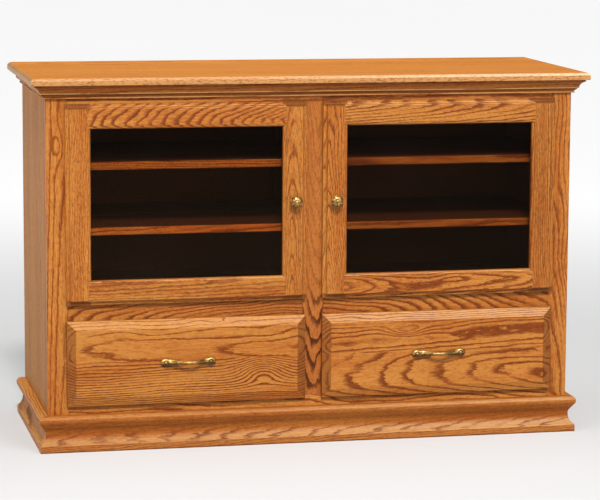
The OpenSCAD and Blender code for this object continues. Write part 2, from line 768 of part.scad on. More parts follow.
// Shape of a pull at distance x from its middle: how far out it is, and half its height and depth
foot_l = pull_l / 2 - pull_centres / 2;
foot_y = 5.5;
function foot_share(x) = pow(min(1, abs(x) / (pull_centres / 2 + foot_l / 6)), 2.1);
function tip_share(x) = let (u = max(0, (abs(x) - pull_centres / 2) / foot_l)) sqrt(max(0, 1 - 0.97 * pow(u, 3.2)));
function bow_y(x) = let (u = min(1, abs(x) / (pull_centres / 2)))
    foot_y + (pull_out - foot_y - pull_bar_deep) * (1 - pow(sin(90 * u), 2.6));
function pull_half_h(x) = (pull_bar_r + (pull_foot_r - pull_bar_r) * foot_share(x)) * tip_share(x);
function pull_half_d(x) = (pull_bar_deep + (pull_foot_deep - pull_bar_deep) * foot_share(x)) * tip_share(x);

module pull_bar() {
    rings = 48;
    sides = 16;
    points = [
        for (i = [0:rings], j = [0:sides - 1])
            let (x = -pull_l / 2 + pull_l * i / rings, a = 360 * j / sides)
                [x, -max(0, bow_y(x) + pull_half_d(x) * cos(a)), pull_half_h(x) * sin(a)]
    ];
    walls = [
        for (i = [0:rings - 1], j = [0:sides - 1])
            let (a = i * sides + j, b = i * sides + (j + 1) % sides)
                each [[a, b, b + sides], [a, b + sides, a + sides]]
    ];
    first = [for (j = [sides - 1:-1:0]) j];
    last = [for (j = [0:sides - 1]) rings * sides + j];
    polyhedron(points, concat([first], walls, [last]), convexity = 4);
}

module at_drawer(side) placed() on_side(side)
    translate([door_x, drawer_face_y, (drawer_z0 + drawer_z1) / 2]) children();

module drawer_pull(side) color(brass) at_drawer(side) {
    pull_bar();
    for (x = [-pull_centres / 2, pull_centres / 2]) {
        rod_y(x, 0, -foot_y, drawer_front_t + drawer_board_t, fixing_r);
        rod_y(x, 0, drawer_front_t + drawer_board_t, drawer_front_t + drawer_board_t + 2.4, fixing_head_r);
    }
}

module pull_screw_holes(y0, y1) for (x = [-pull_centres / 2, pull_centres / 2])
    rod_y(x, 0, y0 - past, y1 + past, fixing_r + fixing_fit);

// DRAWERS

function bevel_points(half) = both_edges([
    [half, drawer_front_t],
    [half, drawer_front_t - drawer_edge_t],
    [half - drawer_bevel_w, 0]
]);

module drawer_front(side) color(oak) at_drawer(side) difference() {
    intersection() {
        upright(-drawer_h / 2, drawer_h / 2) polygon(bevel_points(front_w / 2));
        lying(-front_w / 2, front_w / 2) polygon(bevel_points(drawer_h / 2));
    }
    pull_screw_holes(0, drawer_front_t);
}

// The drawer box: its sides stand between the slides, and its ends are dovetailed into them
box_x0 = open_x0 + slide_t;
box_x1 = open_x1 - slide_t;
box_y0 = -drawer_gap;
box_y1 = box_y0 + drawer_box_d;
box_z0 = bottom_rail_z + drawer_lift;
box_z1 = box_z0 + drawer_box_h;
tail_pitch = drawer_box_h / tail_count;

// The dovetails at both ends of the sides, seen from the side: [y, z], grown by a clearance
module tails(grow) for (i = [0:tail_count - 1], end = [0, 1]) {
    z = box_z0 + tail_pitch * (i + 0.5);
    wide = tail_pitch * tail_share / 2 + grow;
    narrow = wide - drawer_board_t * tail_slope;
    tip = end == 0 ? box_y0 : box_y1;
    root = end == 0 ? box_y0 + drawer_board_t : box_y1 - drawer_board_t;
    polygon([[tip, z - wide], [root, z - narrow], [root, z + narrow], [tip, z + wide]]);
}

// Extrudes an outline drawn as [y, z] along X
module across(x0, x1) translate([x0, 0, 0]) rotate([90, 0, 90]) linear_extrude(x1 - x0) children();

module bottom_groove() slab(
    [box_x0 + drawer_board_t - groove_d, box_y0 + drawer_board_t - groove_d, box_z0 + drawer_bottom_up],
    [
        box_x1 - drawer_board_t + groove_d,
        box_y1 - drawer_board_t + groove_d,
        box_z0 + drawer_bottom_up + drawer_bottom_t + 2 * groove_fit
    ]
);

module drawer_sides(side) color(maple) placed() on_side(side) difference() {
    for (x = [box_x0, box_x1 - drawer_board_t]) across(x, x + drawer_board_t) {
        translate([box_y0 + drawer_board_t, box_z0]) square([drawer_box_d - 2 * drawer_board_t, drawer_box_h]);
        tails(0);
    }
    bottom_groove();
}

module drawer_ends(side) color(maple) placed() on_side(side) difference() {
    for (y = [box_y0, box_y1 - drawer_board_t])
        slab([box_x0, y, box_z0], [box_x1, y + drawer_board_t, box_z1]);
    for (x = [box_x0, box_x1 - drawer_board_t]) across(x - past, x + drawer_board_t + past) tails(tail_fit);
    bottom_groove();
    translate([door_x, 0, (drawer_z0 + drawer_z1) / 2]) pull_screw_holes(box_y0, box_y0 + drawer_board_t);
}

module drawer_bottom(side) color(plywood) placed() on_side(side) slab(
    [
        box_x0 + drawer_board_t - groove_d + groove_fit,
        box_y0 + drawer_board_t - groove_d + groove_fit,
        box_z0 + drawer_bottom_up + groove_fit
    ],
    [
        box_x1 - drawer_board_t + groove_d - groove_fit,
        box_y1 - drawer_board_t + groove_d - groove_fit,
        box_z0 + drawer_bottom_up + drawer_bottom_t + groove_fit
    ]
);

// SLIDES: a channel on the case, a link that runs in it, and a runner on the drawer box

slide_z = (box_z0 + box_z1) / 2;
slide_side_gap = 0.8;
link_x = slide_steel + slide_side_gap;
runner_x = link_x + slide_steel + slide_side_gap;
link_h = slide_h - 2 * slide_steel - 2 * slide_run;
runner_h = link_h - 2 * slide_steel - 2 * slide_run;

// A pair of slides for one drawer, each drawn from its spacer towards the drawer box
module slide_pair(side) placed() on_side(side) {
    translate([open_x0, slide_in, slide_z]) children();
    translate([open_x1, slide_in, slide_z]) mirror([1, 0, 0]) children();
}

// A channel from x0 to x1 with its web at x0
module channel(x0, x1, height) difference() {
    slab([x0, 0, -height / 2], [x1, slide_l, height / 2]);
    slab([x0 + slide_steel, -past, -height / 2 + slide_steel], [x1 + past, slide_l + past, height / 2 - slide_steel]);
}

module slide_channels() color(steel) for (side = [left, right])
    slide_pair(side) channel(0, slide_t - link_x - slide_steel, slide_h);

module slide_links(side) color(steel) slide_pair(side)
    channel(link_x, slide_t - slide_steel - slide_side_gap, link_h);

module drawer_runners(side) color(steel) slide_pair(side)
    translate([slide_t, 0, 0]) mirror([1, 0, 0]) channel(0, slide_t - runner_x, runner_h);

module slide_spacers() color(plywood) placed() for (side = [left, right]) on_side(side) {
    for (x = [[board_t / 2, open_x0], [open_x1, inner_x]])
        slab([x[0], frame_t, slide_z - spacer_h / 2], [x[1], slide_in + slide_l, slide_z + spacer_h / 2]);
}

top_panel();
crown_front();
crown_side(left);  // crown_left
crown_side(right);  // crown_right
case_side(left);  // side_left
case_side(right);  // side_right
outer_stile(left);  // stile_left
stile_centre();
outer_stile(right);  // stile_right
rail_top();
rails_middle();
rail_bottom();
base_front();
base_side(left);  // base_left
base_side(right);  // base_right
blocks_and_cleats();
bottom_panel();
deck();
partition();
drawer_divider();
back_panel();
shelf(left, upper_hole);  // shelf_left_upper
shelf(left, lower_hole);  // shelf_left_lower
shelf(right, upper_hole);  // shelf_right_upper
shelf(right, lower_hole);  // shelf_right_lower
shelf_pins();
hinge_arms();
slide_spacers();
slide_channels();
door_hinge_stile(left);  // left_door_hinge_stile
door_latch_stile(left);  // left_door_latch_stile
door_rail(left, 1);  // left_door_top_rail
door_rail(left, -1);  // left_door_bottom_rail
door_glass(left);  // left_door_glass
door_glass_stops(left);  // left_door_glass_stops
door_hinge_cups(left);  // left_door_hinge_cups
door_knob(left);  // left_door_knob
door_hinge_stile(right);  // right_door_hinge_stile
door_latch_stile(right);  // right_door_latch_stile
door_rail(right, 1);  // right_door_top_rail
door_rail(right, -1);  // right_door_bottom_rail
door_glass(right);  // right_door_glass
door_glass_stops(right);  // right_door_glass_stops
door_hinge_cups(right);  // right_door_hinge_cups
door_knob(right);  // right_door_knob
drawer_front(left);  // left_drawer_front
drawer_sides(left);  // left_drawer_sides
drawer_ends(left);  // left_drawer_ends
drawer_bottom(left);  // left_drawer_bottom
drawer_pull(left);  // left_drawer_pull
drawer_runners(left);  // left_drawer_runners
slide_links(left);  // left_slide_links
drawer_front(right);  // right_drawer_front
drawer_sides(right);  // right_drawer_sides
drawer_ends(right);  // right_drawer_ends
drawer_bottom(right);  // right_drawer_bottom
drawer_pull(right);  // right_drawer_pull
drawer_runners(right);  // right_drawer_runners
slide_links(right);  // right_slide_links
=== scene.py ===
"""Looks of an oak media console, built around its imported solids.

Lengths are in metres, +X to the viewer's right, -Y towards the viewer and +Z up, in the solids'
own frame. Every piece stands at the origin with its place in its mesh.
"""

import logging
import math
import random
import zlib
from dataclasses import dataclass, field
from enum import Enum
from typing import Callable, Iterable, Optional, Sequence, Union

import bmesh
import bpy
from mathutils import Matrix, Vector

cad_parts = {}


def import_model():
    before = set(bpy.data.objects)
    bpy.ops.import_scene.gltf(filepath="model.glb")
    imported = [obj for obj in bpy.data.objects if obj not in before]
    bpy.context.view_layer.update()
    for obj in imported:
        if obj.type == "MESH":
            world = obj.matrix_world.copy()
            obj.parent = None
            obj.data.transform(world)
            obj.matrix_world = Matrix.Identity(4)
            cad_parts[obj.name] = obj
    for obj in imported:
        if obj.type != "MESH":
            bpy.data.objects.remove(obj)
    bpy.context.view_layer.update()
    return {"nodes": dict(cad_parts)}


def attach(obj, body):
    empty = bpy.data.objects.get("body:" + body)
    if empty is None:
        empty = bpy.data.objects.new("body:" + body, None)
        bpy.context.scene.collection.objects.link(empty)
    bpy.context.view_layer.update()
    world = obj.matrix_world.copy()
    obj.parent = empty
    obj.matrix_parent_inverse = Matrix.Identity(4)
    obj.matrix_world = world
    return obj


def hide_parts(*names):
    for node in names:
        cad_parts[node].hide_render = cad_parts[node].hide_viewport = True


LOG = logging.getLogger("console")

Colour = tuple[float, float, float]
Link = Union["Value", float, int, Sequence[float]]


def stain(red: int, green: int, blue: int) -> Colour:
    """Turns a screen colour, with parts from 0 to 255, into the linear light that shaders use."""
    return tuple((c / 255 / 12.92) if c <= 10 else ((c / 255 + 0.055) / 1.055) ** 2.4
                 for c in (red, green, blue))


def dice_for(name: str) -> random.Random:
    """Returns the random numbers that belong to a piece's name, the same in each run."""
    return random.Random(zlib.crc32(name.encode()))


class Axis(Enum):
    """One direction of the object's frame."""

    X = 0
    Y = 1
    Z = 2


class Side(Enum):
    """The left or the right half of the console."""

    LEFT = -1
    RIGHT = 1

    @property
    def word(self) -> str:
        """The side's word in the names of nodes and pieces."""
        return self.name.lower()


# SHADERS


class Value:
    """A shader socket that takes part in Python expressions."""

    def __init__(self, shader: "Shader", socket: bpy.types.NodeSocket) -> None:
        """Wraps a shader's output socket."""
        self.shader = shader
        self.socket = socket

    def math(self, operation: str, *others: Link, flipped: bool = False) -> "Value":
        """Adds a Math node with this value as its first input or, flipped, as its second."""
        inputs = [others[0], self] if flipped else [self, *others]
        return self.shader.add("ShaderNodeMath", {"operation": operation}, dict(enumerate(inputs)))

    def __add__(self, other: Link) -> "Value":
        """Returns the sum."""
        return self.math("ADD", other)

    def __radd__(self, other: Link) -> "Value":
        """Returns the sum with the value on the right."""
        return self.math("ADD", other, flipped=True)

    def __sub__(self, other: Link) -> "Value":
        """Returns the difference."""
        return self.math("SUBTRACT", other)

    def __rsub__(self, other: Link) -> "Value":
        """Returns the difference with the value on the right."""
        return self.math("SUBTRACT", other, flipped=True)

    def __mul__(self, other: Link) -> "Value":
        """Returns the product."""
        return self.math("MULTIPLY", other)

    def __rmul__(self, other: Link) -> "Value":
        """Returns the product with the value on the right."""
        return self.math("MULTIPLY", other, flipped=True)

    def __truediv__(self, other: Link) -> "Value":
        """Returns the quotient."""
        return self.math("DIVIDE", other)

    def __rtruediv__(self, other: Link) -> "Value":
        """Returns the quotient with the value as divisor."""
        return self.math("DIVIDE", other, flipped=True)

    def __pow__(self, other: Link) -> "Value":
        """Returns the power."""
        return self.math("POWER", other)

    def __rpow__(self, other: Link) -> "Value":
        """Returns the power with the value as exponent."""
        return self.math("POWER", other, flipped=True)

    def __neg__(self) -> "Value":
        """Returns the value with its sign changed."""
        return self.math("MULTIPLY", -1.0)

    def __abs__(self) -> "Value":
        """Returns the value without its sign."""
        return self.math("ABSOLUTE")

    def floor(self) -> "Value":
        """Returns the whole part."""
        return self.math("FLOOR")

    def fraction(self) -> "Value":
        """Returns the part after the whole one."""
        return self.math("FRACT")

    def step(self, low: float, high: float) -> "Value":
        """Returns a soft step.

        Args:
            low: Where the step starts.
            high: Where it ends. It may be the lower number, for a step down.

        Returns:
            0 before the step and 1 after it.
        """
        ends = {"Value": self, "From Min": min(low, high), "From Max": max(low, high)}
        rise = self.shader.add("ShaderNodeMapRange", {"interpolation_type": "SMOOTHSTEP"}, ends)
        return rise if low < high else 1 - rise


class Shader:
    """A material's node tree with the few tools that the finishes use."""

    def __init__(self, name: str) -> None:
        """Starts an empty material.

        Args:
            name: The material's name.
        """
        self.material = bpy.data.materials.new(name)
        self.material.use_nodes = True
        self.tree = self.material.node_tree
        self.tree.nodes.clear()
        self._place: Optional[Value] = None

    def add(self, kind: str, settings: dict, inputs: dict, output: Union[int, str] = 0) -> Value:
        """Adds one node.

        Args:
            kind: The node's type.
            settings: The node's own settings.
            inputs: The value or link of each socket, by place or by name.
            output: The place or name of the output that is wanted.

        Returns:
            The wanted output.
        """
        node = self.tree.nodes.new(kind)
        for name, setting in settings.items():
            setattr(node, name, setting)
        for key, given in inputs.items():
            socket = self._find(node.inputs, key)
            if isinstance(given, Value):
                self.tree.links.new(given.socket, socket)
            elif isinstance(given, (tuple, list)) and socket.type == "RGBA" and len(given) == 3:
                socket.default_value = (*given, 1.0)
            else:
                socket.default_value = given
        return Value(self, self._find(node.outputs, output))

    @staticmethod
    def _find(sockets: Iterable, key: Union[int, str]) -> bpy.types.NodeSocket:
        """Finds a socket of a node.

        Args:
            sockets: The node's inputs or outputs.
            key: The socket's place, its identifier or its name.

        Returns:
            The socket.
        """
        if isinstance(key, int):
            return sockets[key]
        for socket in sockets:
            if socket.identifier == key:
                return socket
        return sockets[key]

    @property
    def place(self) -> Value:
        """The point on the object, in metres, from one node for the whole shader."""
        if self._place is None:
            self._place = self.add("ShaderNodeTexCoord", {}, {}, "Object")
        return self._place

    def parts(self, vector: Value) -> list[Value]:
        """Returns the three numbers of a vector."""
        node = self.add("ShaderNodeSeparateXYZ", {}, {0: vector}).socket.node
        return [Value(self, output) for output in node.outputs]

    def at(self, axis: Axis) -> Value:
        """Returns the place along one axis, in metres."""
        return self.parts(self.place)[axis.value]

    def moved(self, vector: Value, shift: Sequence[float], scale: Sequence[float]) -> Value:
        """Returns a vector after a Mapping node's scale and shift."""
        return self.add("ShaderNodeMapping", {}, {"Vector": vector, "Location": shift, "Scale": scale})

    def noise(self, vector: Value, scale: Sequence[float], shift: Sequence[float],
              detail: float = 2.0, roughness: float = 0.5) -> Value:
        """Adds a noise that may be stretched.

        Args:
            vector: Where the noise is read.
            scale: How many times a metre it changes, along each axis.
            shift: What moves it from the same noise elsewhere.
            detail: The number of finer layers.
            roughness: The strength of the finer layers.

        Returns:
            The noise, about 0.5.
        """
        place = self.moved(vector, shift, scale)
        inputs = {"Vector": place, "Scale": 1.0, "Detail": detail, "Roughness": roughness}
        return self.add("ShaderNodeTexNoise", {}, inputs)

    def mix(self, share: Link, first: Link, second: Link) -> Value:
        """Returns the first colour with a share of the second in it."""
        inputs = {"Factor_Float": share, "A_Color": first, "B_Color": second}
        return self.add("ShaderNodeMix", {"data_type": "RGBA"}, inputs, "Result_Color")

    def bump(self, height: Value, distance: float) -> Value:
        """Returns the normal of a surface whose height 1 stands out by this distance, in metres."""
        return self.add("ShaderNodeBump", {}, {"Height": height, "Distance": distance, "Strength": 1.0})

    def surface(self, inputs: dict) -> bpy.types.Material:
        """Ends the tree with a Principled BSDF that has these values and links."""
        return self.finish(self.add("ShaderNodeBsdfPrincipled", {}, inputs))

    def finish(self, shade: Value) -> bpy.types.Material:
        """Ends the tree with an output, the one node that gives no value.

        Args:
            shade: What the output shows.

        Returns:
            The finished material.
        """
        node = self.tree.nodes.new("ShaderNodeOutputMaterial")
        self.tree.links.new(shade.socket, node.inputs["Surface"])
        return self.material


# WOOD


class Layer(Enum):
    """A layer of the wood's figure: how often it changes in a metre, along the grain and across it."""

    WANDER = (2.4, 8.0)
    RIPPLE = (13.0, 55.0)
    FRAY = (60.0, 620.0)
    PATCH = (4.0, 26.0)
    PITS = (90.0, 2300.0)
    FLECK = (95.0, 310.0)
    STREAK = (26.0, 300.0)
    CLOUD = (1.8, 16.0)
    LINING = (6.0, 300.0)
    VENEER = (1.4, 9.0)
    FIBRE = (9.0, 420.0)


WANDER_ASIDE, WANDER_OUT, RIPPLE_OUT = 0.05, 0.026, 0.006  # how far these layers move the rings
LOG_LENGTH, LOG_DEPTH = 3.0, 0.04  # the part of the log that strips come from


@dataclass(frozen=True)
class Eye:
    """A bump in the log that the rings bend round: its place from the board's middle, and its size."""

    along: float
    across: float
    length: float
    width: float
    rise: float


@dataclass(frozen=True)
class Fade:
    """Where the open grain grows from its least to its full strength, along one axis."""

    axis: Axis
    faint: float
    full: float
    least: float

    def strength(self, shader: Shader) -> Value:
        """Returns the strength of the open grain."""
        return shader.at(self.axis).step(self.faint, self.full) * (1 - self.least) + self.least


@dataclass(frozen=True)
class Cut:
    """How a board lies in the log that it was sawn from.

    Attributes:
        along: The direction of the grain.
        through: The direction of the board's thickness.
        centre: The board's middle.
        heart: How far under the middle the log's heart lies.
        aside: How far to the side of the middle it lies.
        lean: How much deeper the heart lies with each metre.
        drift: How much further aside it lies with each metre.
        strip: The width of the strips that a wide panel is glued from, or 0.
        wild: How much the rings wander.
        ring: The width of a ring.
        band: The share of a ring that is open-grained.
        tone: The board's lightness, about 1.
        figure: The strength of its open grain, about 1.
        fade: Where the open grain fades, if it does.
        butt: How far from the middle long grain gives way to end grain, or 0.
        eye: The eye in the figure, if it has one.
    """

    along: Axis
    through: Axis
    centre: tuple[float, float, float]
    heart: float = 0.085
    aside: float = 0.0
    lean: float = 0.035
    drift: float = 0.0
    strip: float = 0.0
    wild: float = 1.0
    ring: float = 0.0062
    band: float = 0.48
    tone: float = 1.0
    figure: float = 1.0
    fade: Optional[Fade] = None
    butt: float = 0.0
    eye: Optional[Eye] = None

    @property
    def across(self) -> Axis:
        """The direction across the grain in the board's face."""
        return next(a for a in Axis if a not in (self.along, self.through))

    def layer(self, shader: Shader, place: Value, layer: Layer, shift: Sequence[float],
              detail: float = 2.0, roughness: float = 0.5) -> Value:
        """Adds one layer of the figure.

        Args:
            shader: The shader that gets the nodes.
            place: Where the layer is read.
            layer: The layer.
            shift: What moves it from the same layer of another board.
            detail: The number of finer noises in it.
            roughness: The strength of the finer noises.

        Returns:
            The layer's noise, about 0.5.
        """
        along, across = layer.value
        scale = [along if a is self.along else across for a in Axis]
        return shader.noise(place, scale, shift, detail, roughness)

    def strips(self, shader: Shader, place: Value, start: float) -> tuple[Value, Value]:
        """Glues a wide panel up from strips, each from another part of the log.

        Args:
            shader: The shader that gets the nodes.
            place: The point, from the panel's middle.
            start: Where the strips start, as a share of a strip's width.

        Returns:
            The point in the strip's own wood, and the strip's chance from 0 to 1.
        """
        number = (shader.parts(place)[self.across.value] / self.strip + start).floor()
        kind, line = "ShaderNodeTexWhiteNoise", {"noise_dimensions": "1D"}
        chance, other = (shader.add(kind, line, {"W": seed}, "Value") for seed in (number, number + 0.5))
        jump = shader.add("ShaderNodeCombineXYZ", {}, {
            self.along.value: chance * LOG_LENGTH - LOG_LENGTH / 2,
            self.across.value: (other - 0.5) * self.strip * 1.5,
            self.through.value: other * LOG_DEPTH,
        })
        return shader.add("ShaderNodeVectorMath", {"operation": "ADD"}, {0: place, 1: jump}), chance

    def rings(self, shader: Shader, place: Value, shift: Sequence[float]) -> Value:
        """Counts the rings from the heart out to a point.

        Args:
            shader: The shader that gets the nodes.
            place: The point, from the board's middle.
            shift: What moves the waves of the rings from those of another board.

        Returns:
            The number of rings, with its fraction.
        """
        parts = shader.parts(place)
        along, across, through = (parts[a.value] for a in (self.along, self.across, self.through))
        wander = self.layer(shader, place, Layer.WANDER, shift) - 0.5
        ripple = self.layer(shader, place, Layer.RIPPLE, shift, 3.0, 0.6) - 0.5
        aside = across - self.aside + along * self.drift + wander * (WANDER_ASIDE * self.wild)
        under = through + self.heart + along * self.lean
        radius = (aside * aside + under * under) ** 0.5
        if self.eye:
            near = (((along - self.eye.along) / self.eye.length) ** 2
                    + ((across - self.eye.across) / self.eye.width) ** 2)
            radius = radius + math.e ** -near * self.eye.rise
        waves = wander * (WANDER_OUT * self.wild) + ripple * (RIPPLE_OUT * self.wild)
        return (radius + waves) / self.ring

    def open_grain(self, shader: Shader, place: Value, shift: Sequence[float]) -> Value:
        """Finds the open-grained part of each ring.

        Args:
            shader: The shader that gets the nodes.
            place: The point, from the board's middle.
            shift: What moves the figure from that of another board.

        Returns:
            1 in open grain and 0 in dense wood.
        """
        turns = self.rings(shader, place, shift)
        fray = self.layer(shader, place, Layer.FRAY, shift, 2.0, 0.7) - 0.5
        phase = (turns + fray * 0.4).fraction()
        years = shader.add("ShaderNodeTexNoise", {"noise_dimensions": "1D"},
                           {"W": turns * 0.55, "Scale": 1.0})
        patch = self.layer(shader, place, Layer.PATCH, shift)
        width = (patch * 1.3 + 0.35) * self.band
        porous = (1 - phase / width).math("MAXIMUM", 0.0).step(0.0, 0.8) + phase.step(0.95, 1.0)
        porous = porous * (years * 0.6 + patch * 0.7).step(0.36, 0.66)
        return porous * self.fade.strength(shader) if self.fade else porous


def cut_of(name: str, piece: bpy.types.Object, **changes: object) -> Cut:
    """Lays a board in a log: its grain runs along its longest side.

    Args:
        name: The name that the board's chances come from.
        piece: The board.
        **changes: Fields of the cut that are given.

    Returns:
        The cut.
    """
    low, high = corners(piece)
    size = high - low
    through, across, along = sorted(Axis, key=lambda a: size[a.value])
    dice = dice_for(name)
    facts = {
        "along": along, "through": through, "centre": tuple((low + high) / 2),
        "heart": dice.uniform(0.05, 0.12), "aside": dice.uniform(-0.6, 0.6) * size[across.value],
        "lean": dice.choice([-1, 1]) * dice.uniform(0.02, 0.05), "drift": dice.uniform(-0.02, 0.02),
        "tone": dice.uniform(0.93, 1.06),
    }
    return Cut(**{**facts, **changes})


@dataclass(frozen=True)
class Band:
    """A level line along a moulding: a painted highlight or, with a strength under 0, painted shade."""

    height: float
    half: float
    strength: float


@dataclass(frozen=True)
class Oak:
    """Open-grained oak under stain and lacquer.

    Attributes:
        light: The dense wood's lighter colour.
        mid: Its darker colour.
        dark: The open grain.
        deep: The pores.
        ends: The end grain.
        rubbed: The colour that the highlights painted on upward slants, on the top's edge and along moulding
            lines mix towards.
        contrast: The strength of the open grain.
        pores: The strength of the pores.
        shade: The wood's lightness as a whole.
        roughness: The surface's roughness.
        gloss: The strength of its reflections.
        sheen: The colour of its reflections.
        lacquer: How much lacquer lies on the slants.
        coat_roughness: The lacquer's roughness.
        coat_tint: The lacquer's colour.
        relief: How deep the pores are.
        end_share: How strong the colour of the end grain is.
        rim_share: How strong the colour of the edge all round is.
        rim: The colour of the edge all round, if it has its own.
        bands: The lines of painted highlight and painted shade along a moulding.
    """

    light: Colour = stain(208, 135, 60)
    mid: Colour = stain(188, 104, 38)
    dark: Colour = stain(128, 54, 8)
    deep: Colour = stain(92, 36, 6)
    ends: Colour = stain(104, 46, 8)
    # The colour of the painted highlights.
    rubbed: Colour = stain(236, 188, 124)
    contrast: float = 0.95
    pores: float = 0.62
    shade: float = 0.62
    roughness: float = 0.34
    gloss: float = 0.28
    sheen: Colour = (1.0, 0.78, 0.5)
    lacquer: float = 0.4
    coat_roughness: float = 0.28
    coat_tint: Colour = (1.0, 0.94, 0.84)
    relief: float = 0.00022
    end_share: float = 0.67
    rim_share: float = 0.84
    rim: Optional[Colour] = None
    bands: tuple[Band, ...] = ()

    def material(self, name: str, cut: Cut) -> bpy.types.Material:
        """Makes the material of one board from its name and its cut."""
        shader = Shader(name)
        return shader.surface(self.inputs(shader, name, cut))

    def jointed(self, name: str, lower: Cut, upper: Cut, joint: float) -> bpy.types.Material:
        """Makes the material of a panel that is glued up from two boards.

        Args:
            name: The material's name.
            lower: The cut of the lower board.
            upper: The cut of the upper board.
            joint: The height of the glue line, in metres.

        Returns:
            The material.
        """
        shader = Shader(name)
        inputs = self.inputs(shader, name + "_lower", lower)
        others = self.inputs(shader, name + "_upper", upper)
        above = shader.at(Axis.Z).step(joint - 0.0003, joint + 0.0003)
        inputs["Base Color"] = shader.mix(above, inputs["Base Color"], others["Base Color"])
        return shader.surface(inputs)

    def inputs(self, shader: Shader, name: str, cut: Cut) -> dict:
        """Works out what a board's surface needs.

        Args:
            shader: The shader that gets the nodes.
            name: The name that the board's chances come from.
            cut: How the board lies in its log.

        Returns:
            The inputs of the board's Principled BSDF.
        """
        dice = dice_for(name)
        shift = [dice.uniform(-9, 9) for _ in range(3)]
        place = shader.moved(shader.place, [-c for c in cut.centre], (1, 1, 1))
        tone: Link = cut.tone * self.shade
        if cut.strip:
            place, chance = cut.strips(shader, place, dice.random())
            tone = (chance - 0.5) * 0.1 + tone

        porous = cut.open_grain(shader, place, shift)
        fleck = cut.layer(shader, place, Layer.FLECK, shift[::-1], 2.0, 0.6).step(0.51, 0.61)
        pits = cut.layer(shader, place, Layer.PITS, shift).step(0.55, 0.66) + fleck * 0.9
        pits = pits.math("MINIMUM", 1.0) * (porous * 0.42 + 0.58)
        streak = cut.layer(shader, place, Layer.STREAK, shift, 3.0, 0.7) - 0.5
        cloud = cut.layer(shader, place, Layer.CLOUD, shift)
        colour = shader.mix((cloud + streak * 1.1 + porous * 0.25).step(0.3, 0.78), self.light, self.mid)
        colour = shader.mix(porous * (self.contrast * cut.figure), colour, self.dark)
        colour = shader.mix(pits * self.pores, colour, self.deep)

        facing = shader.parts(shader.add("ShaderNodeTexCoord", {}, {}, "Normal"))
        up = facing[Axis.Z.value]
        # bright rises from the left end to the right end: it makes the painted highlights and the lacquer
        # grow towards the right, where the highlights fall.
        bright = shader.at(Axis.X).step(-0.5, 0.7)
        if self.rim:
            edge = abs(facing[cut.through.value]).step(0.985, 0.8)
            # On the top's edge the upper rounding gets a painted highlight that grows towards the right.
            pale = shader.mix(bright * bright * up.step(0.12, 0.45), self.rim, self.rubbed)
            colour = shader.mix(edge * self.rim_share, colour, shader.mix(fleck * 0.62, pale, self.deep))
        ends = abs(facing[cut.along.value]).step(0.1, 0.5)
        if cut.butt:
            reach = abs(shader.parts(place)[cut.along.value])
            ends = ends.math("MAXIMUM", reach.step(cut.butt - 0.0006, cut.butt + 0.0006))
        colour = shader.mix(ends * self.end_share, colour, self.ends)
        slant = up.step(0.12, 0.45) * up.step(0.97, 0.85) * (1 - ends)
        dense = (1 - porous * 0.75) * (1 - pits * 0.4)
        # Upward slants, such as bevel tops, the nosing and the flare, get a painted highlight, stronger
        # towards the right, with the open grain showing through.
        colour = shader.mix(slant * dense * (bright * 0.25 + 0.14), colour, self.rubbed)
        colour = self.lined(shader, colour, dense)
        return {
            "Base Color": shader.add("ShaderNodeHueSaturation", {}, {"Value": tone, "Color": colour}),
            "Roughness": porous * 0.12 + pits * 0.1 + cloud * 0.08 + (self.roughness - 0.04)
            + up.step(0.97, 0.995) * 0.14,
            "Normal": shader.bump(pits * -0.7 - porous * 0.3 + streak * 0.15, self.relief),
            "Specular IOR Level": self.gloss,
            "Specular Tint": self.sheen,
            "Coat Weight": slant * (bright * 0.92 + 0.08) * self.lacquer,
            "Coat Roughness": self.coat_roughness,
            "Coat Tint": self.coat_tint,
        }

    def lined(self, shader: Shader, colour: Value, dense: Value) -> Value:
        """Paints the level lines of highlight and shade along a moulding.

        Args:
            shader: The shader that gets the nodes.
            colour: The wood's colour.
            dense: How dense the wood is, from 0 to 1.

        Returns:
            The colour with the lines.
        """
        for band in self.bands:
            line = abs(shader.at(Axis.Z) - band.height).step(band.half * 1.5, band.half * 0.5)
            # A band over 0 paints a highlight line, under 0 a line of shade.
            if band.strength > 0:
                colour = shader.mix(line * dense * (band.strength * 1.15), colour, self.rubbed)
            else:
                colour = shader.mix(line * -band.strength, colour, self.deep)
        return colour


@dataclass(frozen=True)
class LinedOak:
    """An oak board that turns dark past an edge, towards the inside of the bays."""

    outside: Oak
    axis: Axis
    edge: float
    sign: int = 1  # 1 where the lining lies beyond the edge, -1 where it lies before it
    blur: float = 0.0004
    lining: Colour = stain(140, 86, 50)
    streaks: Colour = stain(130, 80, 48)

    def material(self, name: str, cut: Cut) -> bpy.types.Material:
        """Makes the board's material.

        Args:
            name: The material's name.
            cut: How the board lies in its log.

        Returns:
            The material.
        """
        shader = Shader(name)
        inputs = self.outside.inputs(shader, name, cut)
        lined = ((shader.at(self.axis) - self.edge) * self.sign).step(-self.blur, self.blur)
        grain = cut.layer(shader, shader.place, Layer.LINING, (3, 1, 2), 3.0).step(0.35, 0.75)
        dark = shader.mix(grain * 0.5, self.lining, self.streaks)
        inputs["Base Color"] = shader.mix(lined, inputs["Base Color"], dark)
        return shader.surface(inputs)


